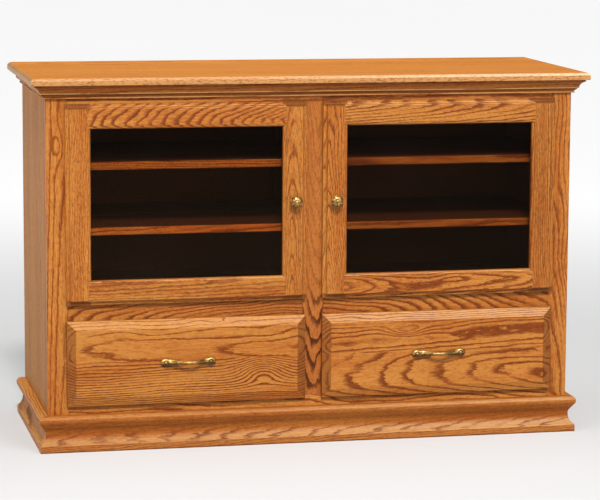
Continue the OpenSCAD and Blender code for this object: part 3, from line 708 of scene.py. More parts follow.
@dataclass(frozen=True)
class Plywood:
    """Thin rotary-cut veneer with broad soft figure."""

    light: Colour = stain(198, 154, 104)
    dark: Colour = stain(158, 110, 66)
    lining: Colour = stain(140, 86, 50)
    lined_to: Optional[float] = None  # where along Y a sheet's lining ends, if it has one
    roughness: float = 0.6
    relief: float = 0.0001

    def material(self, name: str, cut: Cut) -> bpy.types.Material:
        """Makes the material of one sheet.

        Args:
            name: The material's name.
            cut: How the sheet's face veneer runs.

        Returns:
            The material.
        """
        shader = Shader(name)
        dice = dice_for(name)
        shift = [dice.uniform(-9, 9) for _ in range(3)]
        broad = cut.layer(shader, shader.place, Layer.VENEER, shift, 2.0, 0.6)
        waves = abs((broad * 9).fraction() - 0.5) * 2
        fibre = cut.layer(shader, shader.place, Layer.FIBRE, shift, 3.0, 0.7)
        colour = shader.mix(waves * 0.45 + fibre * 0.55, self.dark, self.light)
        if self.lined_to is not None:
            bare = shader.at(Axis.Y).step(self.lined_to, self.lined_to + 0.0006)
            colour = shader.mix(bare, self.lining, colour)
        return shader.surface({
            "Base Color": colour,
            "Roughness": fibre * 0.15 + self.roughness,
            "Normal": shader.bump(fibre, self.relief),
        })


# METAL, GLASS AND RUBBER


@dataclass(frozen=True)
class Brass:
    """Polished brass with a brown patina left in the hollows."""

    bright: Colour = stain(188, 146, 86)
    worn: Colour = stain(118, 86, 42)
    patina: Colour = stain(46, 28, 8)
    roughness: float = 0.42
    relief: float = 0.00012

    def material(self, name: str, depth: Callable[[Shader], Value]) -> bpy.types.Material:
        """Makes the material of a fitting.

        Args:
            name: The material's name.
            depth: Makes the value that says how deep in a hollow a point lies, from 0 to 1.

        Returns:
            The material.
        """
        shader = Shader(name)
        blotch = shader.noise(shader.place, (130, 130, 130), (2, 5, 1), 3.0, 0.6)
        fine = shader.noise(shader.place, (1500, 1500, 1500), (4, 3, 1), 2.0)
        hollow = depth(shader)
        stained = (hollow + (blotch - 0.5) * 0.5).step(0.25, 0.8)
        colour = shader.mix(blotch.step(0.35, 0.7), self.bright, self.worn)
        colour = shader.mix(stained * 0.85, colour, self.patina)
        return shader.surface({
            "Base Color": colour,
            "Metallic": 1 - stained * 0.35,
            "Roughness": stained * 0.3 + blotch * 0.12 + (self.roughness - 0.06),
            "Normal": shader.bump(fine * 0.4 + blotch, self.relief),
        })


@dataclass(frozen=True)
class Steel:
    """Bright plated steel with rolling marks."""

    bright: Colour = stain(214, 216, 218)
    dull: Colour = stain(150, 152, 156)
    roughness: float = 0.28
    relief: float = 0.00004
    along: Axis = Axis.Y

    def material(self, name: str) -> bpy.types.Material:
        """Makes the material.

        Args:
            name: The material's name.

        Returns:
            The material.
        """
        shader = Shader(name)
        scale = tuple(12.0 if a is self.along else 900.0 for a in Axis)
        lines = shader.noise(shader.place, scale, (1, 2, 3), 2.0)
        bloom = shader.noise(shader.place, (24, 24, 24), (7, 3, 1), 3.0, 0.6)
        return shader.surface({
            "Base Color": shader.mix((lines * 0.5 + bloom * 0.6).step(0.3, 0.8), self.bright, self.dull),
            "Metallic": 1.0,
            "Roughness": bloom * 0.2 + lines * 0.1 + (self.roughness - 0.1),
            "Normal": shader.bump(lines, self.relief),
        })


@dataclass(frozen=True)
class SmokedGlass:
    """A clear pane with a brown tint and a film of dust at its foot."""

    tint: Colour = (0.84, 0.76, 0.68)
    pane: Colour = (0.008, 0.005, 0.003)
    dust: Colour = (0.05, 0.029, 0.013)
    sheen: float = 0.7
    haze: float = 1.0

    def material(self, name: str, foot: float) -> bpy.types.Material:
        """Makes the pane's material.

        Args:
            name: The material's name.
            foot: The height of the pane's lower edge, in metres.

        Returns:
            The material.
        """
        shader = Shader(name)
        smear = shader.noise(shader.place, (9, 9, 3), (1, 4, 2), 3.0, 0.6)
        clear = shader.add("ShaderNodeBsdfTransparent", {}, {"Color": self.tint})
        low = (shader.at(Axis.Z) - foot).step(0.36, 0.02) * self.haze
        gloss = shader.add("ShaderNodeBsdfPrincipled", {}, {
            "Base Color": shader.mix(low, self.pane, self.dust),
            "Roughness": smear * 0.05 + 0.01,
            "Specular IOR Level": self.sheen,
        })
        slant = shader.add("ShaderNodeLayerWeight", {}, {"Blend": 0.5}, "Facing")
        rim = slant ** 5 * 0.9 + 0.035
        film = smear.step(0.3, 0.8) * low * 0.02
        return shader.finish(shader.add("ShaderNodeMixShader", {}, {0: rim + film, 1: clear, 2: gloss}))


@dataclass(frozen=True)
class Rubber:
    """Soft clear-grey rubber of the door bumpers."""

    light: Colour = stain(176, 172, 164)
    dark: Colour = stain(120, 116, 110)
    roughness: float = 0.5
    relief: float = 0.00008

    def material(self, name: str) -> bpy.types.Material:
        """Makes the material.

        Args:
            name: The material's name.

        Returns:
            The material.
        """
        shader = Shader(name)
        grain = shader.noise(shader.place, (400, 400, 400), (1, 1, 2), 2.0)
        return shader.surface({
            "Base Color": shader.mix(grain * 0.4, self.light, self.dark),
            "Roughness": grain * 0.2 + self.roughness,
            "Normal": shader.bump(grain, self.relief),
        })


# SHAPES


def corners(piece: bpy.types.Object) -> tuple[Vector, Vector]:
    """Finds the box round a piece whose place is in its mesh.

    Args:
        piece: The piece.

    Returns:
        The lowest and the highest corner.
    """
    points = [v.co for v in piece.data.vertices]
    return (Vector(min(p[n] for p in points) for n in range(3)),
            Vector(max(p[n] for p in points) for n in range(3)))


def settle(name: str, bm: bmesh.types.BMesh, finish: bpy.types.Material, crease: float = 18.0,
           turn_out: bool = True) -> bpy.types.Object:
    """Makes a finished piece from a bmesh.

    Args:
        name: The piece's name.
        bm: The shape, which is used up.
        finish: The piece's material.
        crease: The angle from which an edge stays sharp, in degrees.
        turn_out: Whether the faces still have to be turned outwards.

    Returns:
        The piece.
    """
    if turn_out:
        bmesh.ops.recalc_face_normals(bm, faces=bm.faces)
    for face in bm.faces:
        face.smooth = True
    for edge in bm.edges:
        edge.smooth = len(edge.link_faces) != 2 or edge.calc_face_angle() < math.radians(crease)
    mesh = bpy.data.meshes.new(name)
    bm.to_mesh(mesh)
    bm.free()
    mesh.materials.append(finish)
    piece = bpy.data.objects.new(name, mesh)
    bpy.context.scene.collection.objects.link(piece)
    weights = piece.modifiers.new("even_normals", "WEIGHTED_NORMAL")
    weights.keep_sharp = True
    return piece


def eased_copy(node: bpy.types.Object, ease: float, sharp: float = 18.0,
               shortest: float = 0.006) -> bmesh.types.BMesh:
    """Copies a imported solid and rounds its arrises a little, as sanding does.

    Args:
        node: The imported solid.
        ease: The width of the rounding, in metres.
        sharp: The angle from which an edge counts as an arris, in degrees.
        shortest: The shortest edge that is rounded, in metres.

    Returns:
        The eased shape.
    """
    bm = bmesh.new()
    bm.from_mesh(node.data)
    bmesh.ops.remove_doubles(bm, verts=bm.verts, dist=0.00001)
    bmesh.ops.dissolve_limit(bm, angle_limit=math.radians(1.0), verts=bm.verts, edges=bm.edges)
    arrises = [e for e in bm.edges if len(e.link_faces) == 2 and e.calc_length() > shortest
               and e.calc_face_angle_signed(0.0) > math.radians(sharp)]
    if arrises:
        bmesh.ops.bevel(bm, geom=arrises, offset=ease, offset_type="OFFSET", affect="EDGES",
                        segments=2, profile=0.5, material=-1, clamp_overlap=True)
    return bm


def lathe(outline: Sequence[tuple[float, float]], steps: int) -> bmesh.types.BMesh:
    """Turns an outline about Z.

    Args:
        outline: Pairs of radius and height, from the lower end on the axis to the upper one.
        steps: The number of faces round.

    Returns:
        The turned shape.
    """
    bm = bmesh.new()
    chain = [bm.verts.new((radius, 0, height)) for radius, height in outline]
    edges = [bm.edges.new(pair) for pair in zip(chain, chain[1:])]
    bmesh.ops.spin(bm, geom=chain + edges, cent=(0, 0, 0), axis=(0, 0, 1), angle=math.tau,
                   steps=steps, use_merge=True)
    bmesh.ops.remove_doubles(bm, verts=bm.verts, dist=0.000001)
    bmesh.ops.recalc_face_normals(bm, faces=bm.faces)
    return bm


def joined(shapes: Iterable[bmesh.types.BMesh]) -> bmesh.types.BMesh:
    """Puts several shapes into one.

    Args:
        shapes: The shapes, which are used up.

    Returns:
        The whole.
    """
    whole = bmesh.new()
    for shape in shapes:
        mesh = bpy.data.meshes.new("part")
        shape.to_mesh(mesh)
        shape.free()
        whole.from_mesh(mesh)
        bpy.data.meshes.remove(mesh)
    return whole


def placed(bm: bmesh.types.BMesh, place: Vector, out: Vector, turn: float = 0.0) -> bmesh.types.BMesh:
    """Moves a shape that was made about Z so that it stands on a surface.

    Args:
        bm: The shape.
        place: The point of the surface.
        out: The surface's outward direction, which Z becomes.
        turn: A turn about Z beforehand, in radians.

    Returns:
        The same shape.
    """
    lift = Vector((0, 0, 1)).rotation_difference(out).to_matrix().to_4x4()
    matrix = Matrix.Translation(place) @ lift @ Matrix.Rotation(turn, 4, "Z")
    bmesh.ops.transform(bm, matrix=matrix, verts=bm.verts)
    return bm


class Recess(Enum):
    """What a screwdriver fits in a screw's head."""

    SLOT = 1
    CROSS = 2


@dataclass(frozen=True)
class ScrewHead:
    """A low domed head with its recess."""

    radius: float
    height: float
    recess: Recess = Recess.CROSS

    def shape(self) -> bmesh.types.BMesh:
        """Makes the head about Z, with its seat at 0.

        Returns:
            The head's shape.
        """
        r, h = self.radius, self.height
        bm = lathe([(0, 0), (r, 0), (r, 0.3 * h), (0.86 * r, 0.72 * h), (0.6 * r, 0.94 * h), (0, h)], 16)
        wide, deep = 0.16 * r, 0.45 * h
        planes = [(1, 0)] if self.recess is Recess.SLOT else [(1, 0), (0, 1)]
        for a, b in planes:
            for sign in (-1, 1):
                bmesh.ops.bisect_plane(bm, geom=[*bm.verts, *bm.edges, *bm.faces], dist=0.0000001,
                                       plane_co=(sign * wide * a, sign * wide * b, 0), plane_no=(a, b, 0))
        limit = r if self.recess is Recess.SLOT else 0.62 * r
        cut = []
        for face in bm.faces:
            at = face.calc_center_median()
            near = min(abs(at.x * a + at.y * b) for a, b in planes)
            if face.normal.z > 0.5 and near < wide and at.xy.length < limit:
                cut.append(face)
        if cut:
            sunk = bmesh.ops.extrude_face_region(bm, geom=cut)
            bmesh.ops.delete(bm, geom=cut, context="FACES")
            verts = [g for g in sunk["geom"] if isinstance(g, bmesh.types.BMVert)]
            bmesh.ops.translate(bm, verts=verts, vec=(0, 0, -deep))
        return bm


SMALL_SCREW = ScrewHead(0.004, 0.002)
LARGE_SCREW = ScrewHead(0.0045, 0.0024)
SLOTTED_SCREW = ScrewHead(0.0045, 0.0024, Recess.SLOT)


# THE WORKSHOP


@dataclass
class Workshop:
    """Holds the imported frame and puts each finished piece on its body."""

    nodes: dict[str, bpy.types.Object]
    made: int = 0

    def dress(self, node: str, finish: bpy.types.Material) -> None:
        """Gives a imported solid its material.

        Args:
            node: The solid's name.
            finish: The material.
        """
        mesh = self.nodes[node].data
        mesh.materials.clear()
        mesh.materials.append(finish)
        LOG.info("dressed %s with %s", node, finish.name)

    def fit(self, piece: bpy.types.Object, body: str, slot: str, *replaced: str) -> None:
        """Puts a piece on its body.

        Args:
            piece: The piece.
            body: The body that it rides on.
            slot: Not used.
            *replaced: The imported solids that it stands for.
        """
        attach(piece, body)
        if replaced:
            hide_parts(*replaced)
        self.made += 1
        LOG.info("made %s on %s with %d faces", piece.name, body, len(piece.data.polygons))

    def board(self, node: str, body: str, slot: str, finish: Callable[[str, Cut], bpy.types.Material],
              ease: float = 0.0007, **cut: object) -> None:
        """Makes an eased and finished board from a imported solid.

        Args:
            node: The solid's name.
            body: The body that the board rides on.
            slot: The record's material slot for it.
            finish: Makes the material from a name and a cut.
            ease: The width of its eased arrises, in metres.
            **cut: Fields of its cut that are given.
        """
        source = self.nodes[node]
        material = finish(node + "_finish", cut_of(node, source, **cut))
        piece = settle(node + "_board", eased_copy(source, ease), material, turn_out=False)
        self.fit(piece, body, slot, node)

    def fixings(self, name: str, body: str, finish: bpy.types.Material, *shapes: bmesh.types.BMesh) -> None:
        """Makes one piece of screws or bumpers that belong together, from shapes in their places."""
        self.fit(settle(name, joined(shapes), finish), body, "plated_steel")


# THE CASE


@dataclass
class Case:
    """The case: its boards, face frame, mouldings, shelves and back."""

    shop: Workshop
    side_middle: float = 0.6505  # a side board's middle, where its lining starts
    shelf_edge: float = -0.1965  # where along Y a shelf's oak edge ends
    back_lining: float = 0.2665  # where along Y the back's lining ends
    shelf_tones: tuple[tuple[str, float], ...] = (
        ("left_upper", 1.2), ("left_lower", 1.45), ("right_upper", 0.86), ("right_lower", 0.95))
    oak: Oak = Oak()
    oak_top: Oak = Oak(
        light=stain(214, 138, 54), mid=stain(204, 124, 42), dark=stain(176, 98, 34), ends=stain(188, 136, 80),
        # The pale cream colour on the next line paints the highlight on the top's front edge.
        rim=stain(180, 130, 81), rubbed=stain(222, 186, 152), contrast=0.55, pores=0.3, roughness=0.32,
        gloss=0.3, shade=0.75, lacquer=0.45)
    oak_dark: Oak = Oak(light=stain(204, 122, 54), mid=stain(184, 98, 38), dark=stain(84, 34, 4))
    oak_crown: Oak = Oak(
        light=stain(206, 122, 54), mid=stain(184, 98, 38), gloss=0.2,
        # Crown bands: painted shade under the top's overhang (0.8935), painted highlights on the step and the
        # lowest fillet (0.8758, 0.8657) and painted shade beneath the step (0.8725).
        bands=(Band(0.8935, 0.0035, -0.3), Band(0.8758, 0.0012, 0.8), Band(0.8725, 0.0018, -0.5),
               Band(0.8657, 0.0011, 0.4)))
    oak_base: Oak = Oak(
        light=stain(206, 124, 52), mid=stain(184, 98, 36), shade=0.54, lacquer=0.34, gloss=0.18,
        # Base bands: painted shade in the cove (0.05), a painted highlight on the flare (0.0225), a lighter
        # plinth face (0.008) and a painted contact shadow along the foot (0.0005).
        bands=(Band(0.05, 0.009, -0.2), Band(0.0225, 0.0042, 0.28), Band(0.008, 0.0065, 0.1),
               Band(0.0005, 0.0022, -0.75)))
    # Paler, greyer oak for the end returns: a painted reflection of the bright room that glancing side faces
    # show, with little real gloss.
    oak_return: Oak = Oak(
        light=stain(206, 138, 66), mid=stain(190, 116, 50), dark=stain(146, 80, 32), deep=stain(100, 54, 22),
        contrast=0.7, pores=0.5, roughness=0.4, gloss=0.12, shade=0.78, lacquer=0.1)
    # Paler, greyer oak for the side panels: a painted reflection of the bright room at a glancing angle, with
    # little real gloss.
    oak_side: Oak = Oak(
        light=stain(204, 138, 56), mid=stain(188, 117, 43), dark=stain(150, 84, 34), deep=stain(104, 56, 22),
        contrast=0.5, pores=0.4, roughness=0.42, gloss=0.08, shade=0.8)
    dark_inside: Oak = Oak(
        light=stain(124, 74, 44), mid=stain(98, 56, 32), dark=stain(70, 38, 20), deep=stain(40, 20, 10),
        ends=stain(60, 32, 18), roughness=0.55, gloss=0.2, shade=1.0)
    plywood: Plywood = Plywood()

    def build(self) -> None:
        """Makes every board of the case."""
        self.mouldings()
        self.face_frame()
        self.panels()
        self.inside()

    def board(self, node: str, finish: Union[Oak, LinedOak, Plywood], slot: str = "oak",
              **options: object) -> None:
        """Makes a board that stays on the case, with its ease and fields of its cut as options."""
        self.shop.board(node, "carcass", slot, finish.material, **options)

    def mouldings(self) -> None:
        """Makes the top, the crown moulding and the base moulding."""
        self.board("top_panel", self.oak_top, "oak_top", ease=0.0005, strip=0.105, heart=0.14, wild=0.7,
                   ring=0.005)
        # The crown's low tone is painted shade from the top's overhang.
        self.board("crown_front", self.oak_crown, ease=0.0004, heart=0.05, lean=0.02, ring=0.01, tone=0.84,
                   figure=0.5, band=0.3)
        for side in Side:
            self.board(f"crown_{side.word}", self.oak_return, ease=0.0004, through=Axis.X, heart=0.05,
                       tone=0.92)
        self.board("base_front", self.oak_base, heart=0.06, aside=0.0418, lean=0.04, drift=-0.0504,
                   ring=0.005, wild=1.3, band=0.36, figure=0.8, fade=Fade(Axis.Z, 0.045, 0.033, 0.25))
        for side in Side:
            self.board(f"base_{side.word}", self.oak_return, through=Axis.X, heart=0.05, aside=0.01)

    def face_frame(self) -> None:
        """Makes the stiles and rails of the face frame."""
        self.board("stile_left", self.oak, aside=0.03, heart=0.06, lean=0.02, ring=0.008, wild=0.8, band=0.34,
                   figure=0.75, eye=Eye(0.3, 0.004, 0.035, 0.011, 0.012))
        self.board("stile_centre", self.oak_dark, aside=0.006, heart=0.05, lean=-0.09, ring=0.0056, wild=1.2,
                   tone=0.91, figure=1.2, band=0.44, fade=Fade(Axis.Z, 0.42, 0.3, 0.2))
        self.board("stile_right", self.oak, aside=-0.035, heart=0.08, ring=0.005, tone=0.97, figure=0.7)
        self.board("rail_top", self.oak, heart=0.06, lean=0.01)
        self.board("rails_middle", self.oak, heart=0.02, aside=-0.03, lean=0.16, ring=0.007, wild=0.9,
                   tone=0.95)
        self.board("rail_bottom", self.oak, heart=0.07, lean=0.02)

    def panels(self) -> None:
        """Makes the side panels, oak outside and dark towards the bays."""
        for side in Side:
            wood = LinedOak(self.oak_side, Axis.X, side.value * self.side_middle, -side.value)
            self.board(f"side_{side.word}", wood, strip=0.12, heart=0.1, wild=0.8)

    def inside(self) -> None:
        """Makes the deck, bottom, partitions, shelves, back and blocks."""
        for name in ("deck", "bottom_panel", "partition", "drawer_divider"):
            self.board(name, self.dark_inside, "oak_inside", strip=0.11)
        shelf = LinedOak(self.oak, Axis.Y, self.shelf_edge, blur=0.001, lining=stain(64, 34, 18),
                         streaks=stain(84, 48, 26))
        for place, tone in self.shelf_tones:
            self.board(f"shelf_{place}", shelf, "oak_inside", ease=0.0005, tone=tone)
        self.board("back_panel", Plywood(lined_to=self.back_lining), "plywood", ease=0.0004)
        for name in ("blocks_and_cleats", "slide_spacers"):
            self.board(name, self.plywood, "plywood", along=Axis.Y, through=Axis.X)
        self.shop.dress("shelf_pins", Steel().material("shelf_pin_steel"))


# THE DOORS

BACK = Vector((0, 1, 0))
HINGE_HEIGHTS = (0.452, 0.761)
BUMPER = ((0, 0), (0.0042, 0), (0.0044, 0.0004), (0.0036, 0.0012), (0.0018, 0.0016), (0, 0.0017))


@dataclass
class Knob:
    """A round brass knob with a ring of raised petals."""

    x: float = 0.051
    y: float = -0.2445
    z: float = 0.6065
    radius: float = 0.0155
    reach: float = 0.027
    petals: int = 8
    petal_faces: int = 6
    petal_ring: tuple[float, float] = (0.26, 0.84)  # where the petals lie, as shares of the radius
    petal_from: float = 0.0205  # how far out they start
    petal_steps: tuple[tuple[float, float], ...] = ((0.0003, 0.0002), (0.0005, 0.0011))  # width and rise

    def shape(self) -> bmesh.types.BMesh:
        """Makes the knob about Z, with its seat at 0.

        Returns:
            The knob's shape.
        """
        r, h = self.radius, self.reach
        outline = [
            (0, 0), (0.58 * r, 0), (0.60 * r, 0.0007), (0.57 * r, 0.0018),
            (0.48 * r, 0.0026), (0.42 * r, 0.0040), (0.31 * r, 0.0058), (0.27 * r, 0.0085),
            (0.30 * r, 0.0108), (0.42 * r, 0.0124), (0.66 * r, 0.0137), (0.88 * r, 0.0150),
            (0.985 * r, 0.0168), (r, 0.0184), (0.97 * r, 0.0200), (0.90 * r, 0.0210),
            (0.85 * r, 0.0209), (0.78 * r, 0.0222), (0.62 * r, 0.0240), (0.42 * r, 0.0254),
            (0.27 * r, h - 0.0014), (0.24 * r, h - 0.0016), (0.20 * r, h - 0.0008),
            (0.10 * r, h - 0.0001), (0, h),
        ]
        columns = self.petals * self.petal_faces
        bm = lathe(outline, columns)
        for n in range(self.petals):
            bearing = (self.petal_faces * n + (self.petal_faces - 1) / 2) * math.tau / columns
            petal = [f for f in bm.faces if self._in_petal(f.calc_center_median(), bearing)]
            for width, rise in self.petal_steps:
                bmesh.ops.inset_region(bm, faces=petal, thickness=width, depth=rise, use_even_offset=True)
        return bm

    def _in_petal(self, point: Vector, bearing: float) -> bool:
        """Says whether a point lies in a petal.

        Args:
            point: The point.
            bearing: The angle of the petal's middle about Z, in radians.

        Returns:
            Whether it does.
        """
        near, far = (share * self.radius for share in self.petal_ring)
        aside = abs(math.remainder(math.atan2(point.y, point.x) - bearing, math.tau))
        half = (self.petal_faces / 2 - 0.4) * math.tau / (self.petals * self.petal_faces)
        return near < point.xy.length < far and point.z > self.petal_from and aside < half

    def hollow(self, shader: Shader, seat: Vector) -> Value:
        """Says how deep in the knob's hollows a point lies.

        Args:
            shader: The shader that gets the nodes.
            seat: The point of the door that the knob stands on.

        Returns:
            A value from 0 on the raised parts to 1 in the hollows.
        """
        x, y, z = shader.parts(shader.moved(shader.place, tuple(-seat), (1, 1, 1)))
        across = (x * x + z * z) ** 0.5
        neck = (-y).step(0.014, 0.008)
        bearing = z.math("ARCTAN2", x)
        groove = abs((bearing * (self.petals / math.tau)).fraction() - 0.5).step(0.36, 0.5)
        ring = abs(across - 0.86 * self.radius).step(0.0012, 0.0003) * (-y).step(0.019, 0.0205)
        return (neck * 0.8 + groove * across.step(0.004, 0.007) * 0.7 + ring).math("MINIMUM", 1.0)

    def make(self, side: Side) -> bpy.types.Object:
        """Makes the knob on its door.

        Args:
            side: The door's side.

        Returns:
            The knob.
        """
        seat = Vector((side.value * self.x, self.y, self.z))
        brass = Brass().material(f"{side.word}_door_knob_brass", lambda shader: self.hollow(shader, seat))
        piece = settle(f"{side.word}_door_brass_knob", placed(self.shape(), seat, -BACK), brass)
        rounding = piece.modifiers.new("rounding", "SUBSURF")
        rounding.levels = rounding.render_levels = 2
        return piece


@dataclass
class Door:
    """One glazed door with its hinges and knob."""

    shop: Workshop
    side: Side
    cuts: dict[str, dict]
    back_y: float = -0.2255
    low_z: float = 0.362
    high_z: float = 0.851
    sight_low: float = 0.422
    lip: float = 0.012
    cup_x: float = 0.594
    cup_rim: float = 0.0012
    cup_screw: float = 0.022
    bumper_x: float = 0.0285
    bumper_in: float = 0.008
    oak: Oak = Oak(pores=0.7, lacquer=0.22)
    glass: SmokedGlass = SmokedGlass()
    knob: Knob = field(default_factory=Knob)

    @property
    def body(self) -> str:
        """The body that the door's pieces ride on."""
        return f"{self.side.word}_door"

    def build(self) -> None:
        """Makes every piece of the door."""
        self.frame()
        self.hardware()

    def frame(self) -> None:
        """Makes the stiles, the rails and the glass with its stops."""
        board, body = self.shop.board, self.body
        for part, cut in self.cuts.items():
            butt = (self.high_z - self.low_z) / 2 - self.lip if "stile" in part else 0.0
            board(f"{body}_{part}", body, "oak", self.oak.material, ease=0.0006, butt=butt, **cut)
        self.shop.dress(f"{body}_glass", self.glass.material(f"{body}_smoked_glass", self.sight_low))
        board(f"{body}_glass_stops", body, "oak", self.oak.material, ease=0.0004, along=Axis.X,
              through=Axis.Y)

    def behind(self, shape: bmesh.types.BMesh, x: float, z: float, y: float = 0.0,
               turn: float = 0.0) -> bmesh.types.BMesh:
        """Puts a shape that was made about Z on the back of the door, turned by some radians."""
        return placed(shape, Vector((self.side.value * x, self.back_y + y, z)), BACK, turn)

    def hardware(self) -> None:
        """Makes the knob, its screw, the hinge screws and the bumpers."""
        shop, body, behind = self.shop, self.body, self.behind
        shop.fit(self.knob.make(self.side), body, "antique_brass", f"{body}_knob")
        steel = Steel().material(f"{body}_steel")
        shop.dress(f"{body}_hinge_cups", steel)
        shop.fixings(f"{body}_knob_screw", body, steel, behind(LARGE_SCREW.shape(), self.knob.x, self.knob.z))
        shop.fixings(f"{body}_hinge_screws", body, steel, *(
            behind(SMALL_SCREW.shape(), self.cup_x, z + up * self.cup_screw, self.cup_rim, 0.4 * up)
            for z in HINGE_HEIGHTS for up in (-1, 1)))
        shop.fixings(f"{body}_bumpers", body, Rubber().material(f"{body}_rubber"), *(
            behind(lathe(BUMPER, 20), self.bumper_x, z)
            for z in (self.low_z + self.bumper_in, self.high_z - self.bumper_in)))


# THE DRAWERS


@dataclass
class Pull:
    """A bow pull that swells into a leaf and a boss at each foot."""

    x: float = 0.3175
    y: float = -0.2445
    z: float = 0.217
    length: float = 0.137
    centres: float = 0.102  # between its two screws
    reach: float = 0.026
    bar: float = 0.0039  # half the bar's height
    depth: float = 0.0032  # half its depth
    foot: float = 0.0098  # half a foot's height
    foot_depth: float = 0.0058  # half its depth
    foot_out: float = 0.0055  # how far out its middle lies
    boss_in: float = -0.005  # the boss's place, from the screw towards the middle
    boss_length: float = 0.0068
    boss_height: float = 0.0062
    bead: float = 0.0016  # how high the boss's bead stands
    trough: float = 0.0012  # how deep the trough round it is
    petal: float = 0.0003  # how high the petals outside the trough stand
    leaf: float = 0.0034  # half the leaf's height at the screw
    leaf_taper: float = 0.055
    leaf_start: float = 0.001
    leaf_full: float = 0.005
    leaf_end: float = 0.03
    leaf_fade: float = 0.01
    line: float = 0.0008  # how deep the lines round the leaf are
    line_width: float = 0.0007
    stations: int = 150
    sides: int = 56

    def section(self, x: float) -> Vector:
        """Gives the pull's section at a distance from its middle.

        Args:
            x: The distance along the pull.

        Returns:
            Half the section's height, half its depth, and how far out its middle lies.
        """
        half, overhang = self.centres / 2, (self.length - self.centres) / 2
        leaf = min(1.0, abs(x) / (half + 0.003)) ** 2.1
        tip = max(0.0, (abs(x) - half) / overhang)
        taper = math.sqrt(max(0.0, 1 - 0.97 * tip ** 3.2))
        bow = math.sin(math.pi / 2 * min(1.0, abs(x) / half)) ** 2.6
        out = self.foot_out + (self.reach - self.foot_out - self.depth) * (1 - bow)
        height = self.bar + (self.foot - self.bar) * leaf
        depth = self.depth + (self.foot_depth - self.depth) * leaf
        return Vector((height * taper, depth * taper, out))

    def shape(self) -> bmesh.types.BMesh:
        """Makes the pull along X, with its seat at Z = 0 and its height along Y.

        Returns:
            The pull's shape.
        """
        bm = bmesh.new()
        ring = bmesh.ops.create_circle(bm, cap_ends=True, segments=self.sides, radius=1.0)["verts"]
        bmesh.ops.rotate(bm, verts=ring, cent=(0, 0, 0), matrix=Matrix.Rotation(math.pi / 2, 3, "Y"))
        start, step = -self.length / 2, self.length / self.stations
        now = self.section(start)
        bmesh.ops.scale(bm, verts=ring, vec=(1, now[0], now[1]))
        bmesh.ops.translate(bm, verts=ring, vec=(start, 0, now[2]))
        face = next(iter(bm.faces))
        for n in range(self.stations):
            at = start + step * n
            then = self.section(at + step)
            grown = bmesh.ops.extrude_face_region(bm, geom=[face])
            bmesh.ops.delete(bm, geom=[face], context="FACES_ONLY")
            face = next(g for g in grown["geom"] if isinstance(g, bmesh.types.BMFace))
            verts = list(face.verts)
            bmesh.ops.scale(bm, verts=verts, vec=(1, then[0] / now[0], then[1] / now[1]),
                            space=Matrix.Translation((-at, 0, -now[2])))
            bmesh.ops.translate(bm, verts=verts, vec=(step, 0, then[2] - now[2]))
            now = then
        bmesh.ops.recalc_face_normals(bm, faces=bm.faces)
        for vert in [v for v in bm.verts if v.co.z < 0]:
            bmesh.ops.translate(bm, verts=[vert], vec=(0, 0, -vert.co.z))
        self._carve(bm)
        return bm

    def relief(self, inward: float, up: float) -> float:
        """Gives the carving's height on the front of a foot.

        Args:
            inward: The distance from the foot's screw towards the pull's middle.
            up: The distance above the pull's centre line.

        Returns:
            How far the carving stands out of the plain form, in metres.
        """
        away = math.hypot((inward - self.boss_in) / self.boss_length, up / self.boss_height)
        if away < 1:
            bead = max(0.0, 1 - (away / 0.52) ** 2)
            trough = math.exp(-((away - 0.74) / 0.15) ** 2)
            petals = 0.5 + 0.5 * math.cos(6 * math.atan2(up, inward - self.boss_in))
            return self.bead * math.sqrt(bead) - self.trough * trough + self.petal * petals * (1 - bead)
        grown = min(1.0, max(0.0, (inward - self.leaf_start) / (self.leaf_full - self.leaf_start)))
        left = min(1.0, max(0.0, (self.leaf_end - inward) / self.leaf_fade))
        spread = self.leaf - self.leaf_taper * max(0.0, inward)
        groove = math.exp(-((abs(up) - spread) / self.line_width) ** 2)
        return -self.line * groove * grown * left

    def _carve(self, bm: bmesh.types.BMesh) -> None:
        """Carves the leaf and the boss into the front of both feet.

        Args:
            bm: The plain pull.
        """
        bm.normal_update()
        moves = []
        for vert in bm.verts:
            inward = self.centres / 2 - abs(vert.co.x)
            facing = max(0.0, vert.normal.z)
            height = self.relief(inward, vert.co.y) * min(1.0, facing * 2.2)
            if abs(height) > 0.00002:
                moves.append((vert, vert.normal * height))
        for vert, move in moves:
            bmesh.ops.translate(bm, verts=[vert], vec=move)

    def hollow(self, shader: Shader, seat: Vector) -> Value:
        """Says how deep in the pull's hollows a point lies, and darkens its lower half as well.

        Args:
            shader: The shader that gets the nodes.
            seat: The point of the drawer's front behind the pull's middle.

        Returns:
            A value from 0 on the raised parts to 1 in the hollows, and up to 0.75 on the lower half.
        """
        x, y, z = shader.parts(shader.moved(shader.place, tuple(-seat), (1, 1, 1)))
        inward = self.centres / 2 - abs(x)
        away = ((inward - self.boss_in) ** 2 / self.boss_length ** 2 + z * z / self.boss_height ** 2) ** 0.5
        ring = abs(away - 0.76).step(0.26, 0.08)
        grooves = abs(abs(z) - (self.leaf - inward * self.leaf_taper)).step(0.0013, 0.0004)
        grooves = grooves * inward.step(self.leaf_start, self.leaf_full) * inward.step(self.leaf_end, 0.022)
        under = (-y).step(0.006, 0.002)
        # The lower half is made darker and duller too.
        low = z.step(0.001, -0.004) * 0.75
        return (under * 0.8 + ring + grooves * 0.8 + low).math("MINIMUM", 1.0)

    def make(self, side: Side) -> bpy.types.Object:
        """Makes the pull on its drawer.

        Args:
            side: The drawer's side.

        Returns:
            The pull.
        """
        seat = Vector((side.value * self.x, self.y, self.z))
        bm = self.shape()
        turn = Matrix.Rotation(math.pi / 2, 4, "X")
        bmesh.ops.transform(bm, matrix=Matrix.Translation(seat) @ turn, verts=bm.verts)
        brass = Brass().material(f"{side.word}_drawer_pull_brass", lambda shader: self.hollow(shader, seat))
        return settle(f"{side.word}_drawer_brass_pull", bm, brass, crease=180.0)


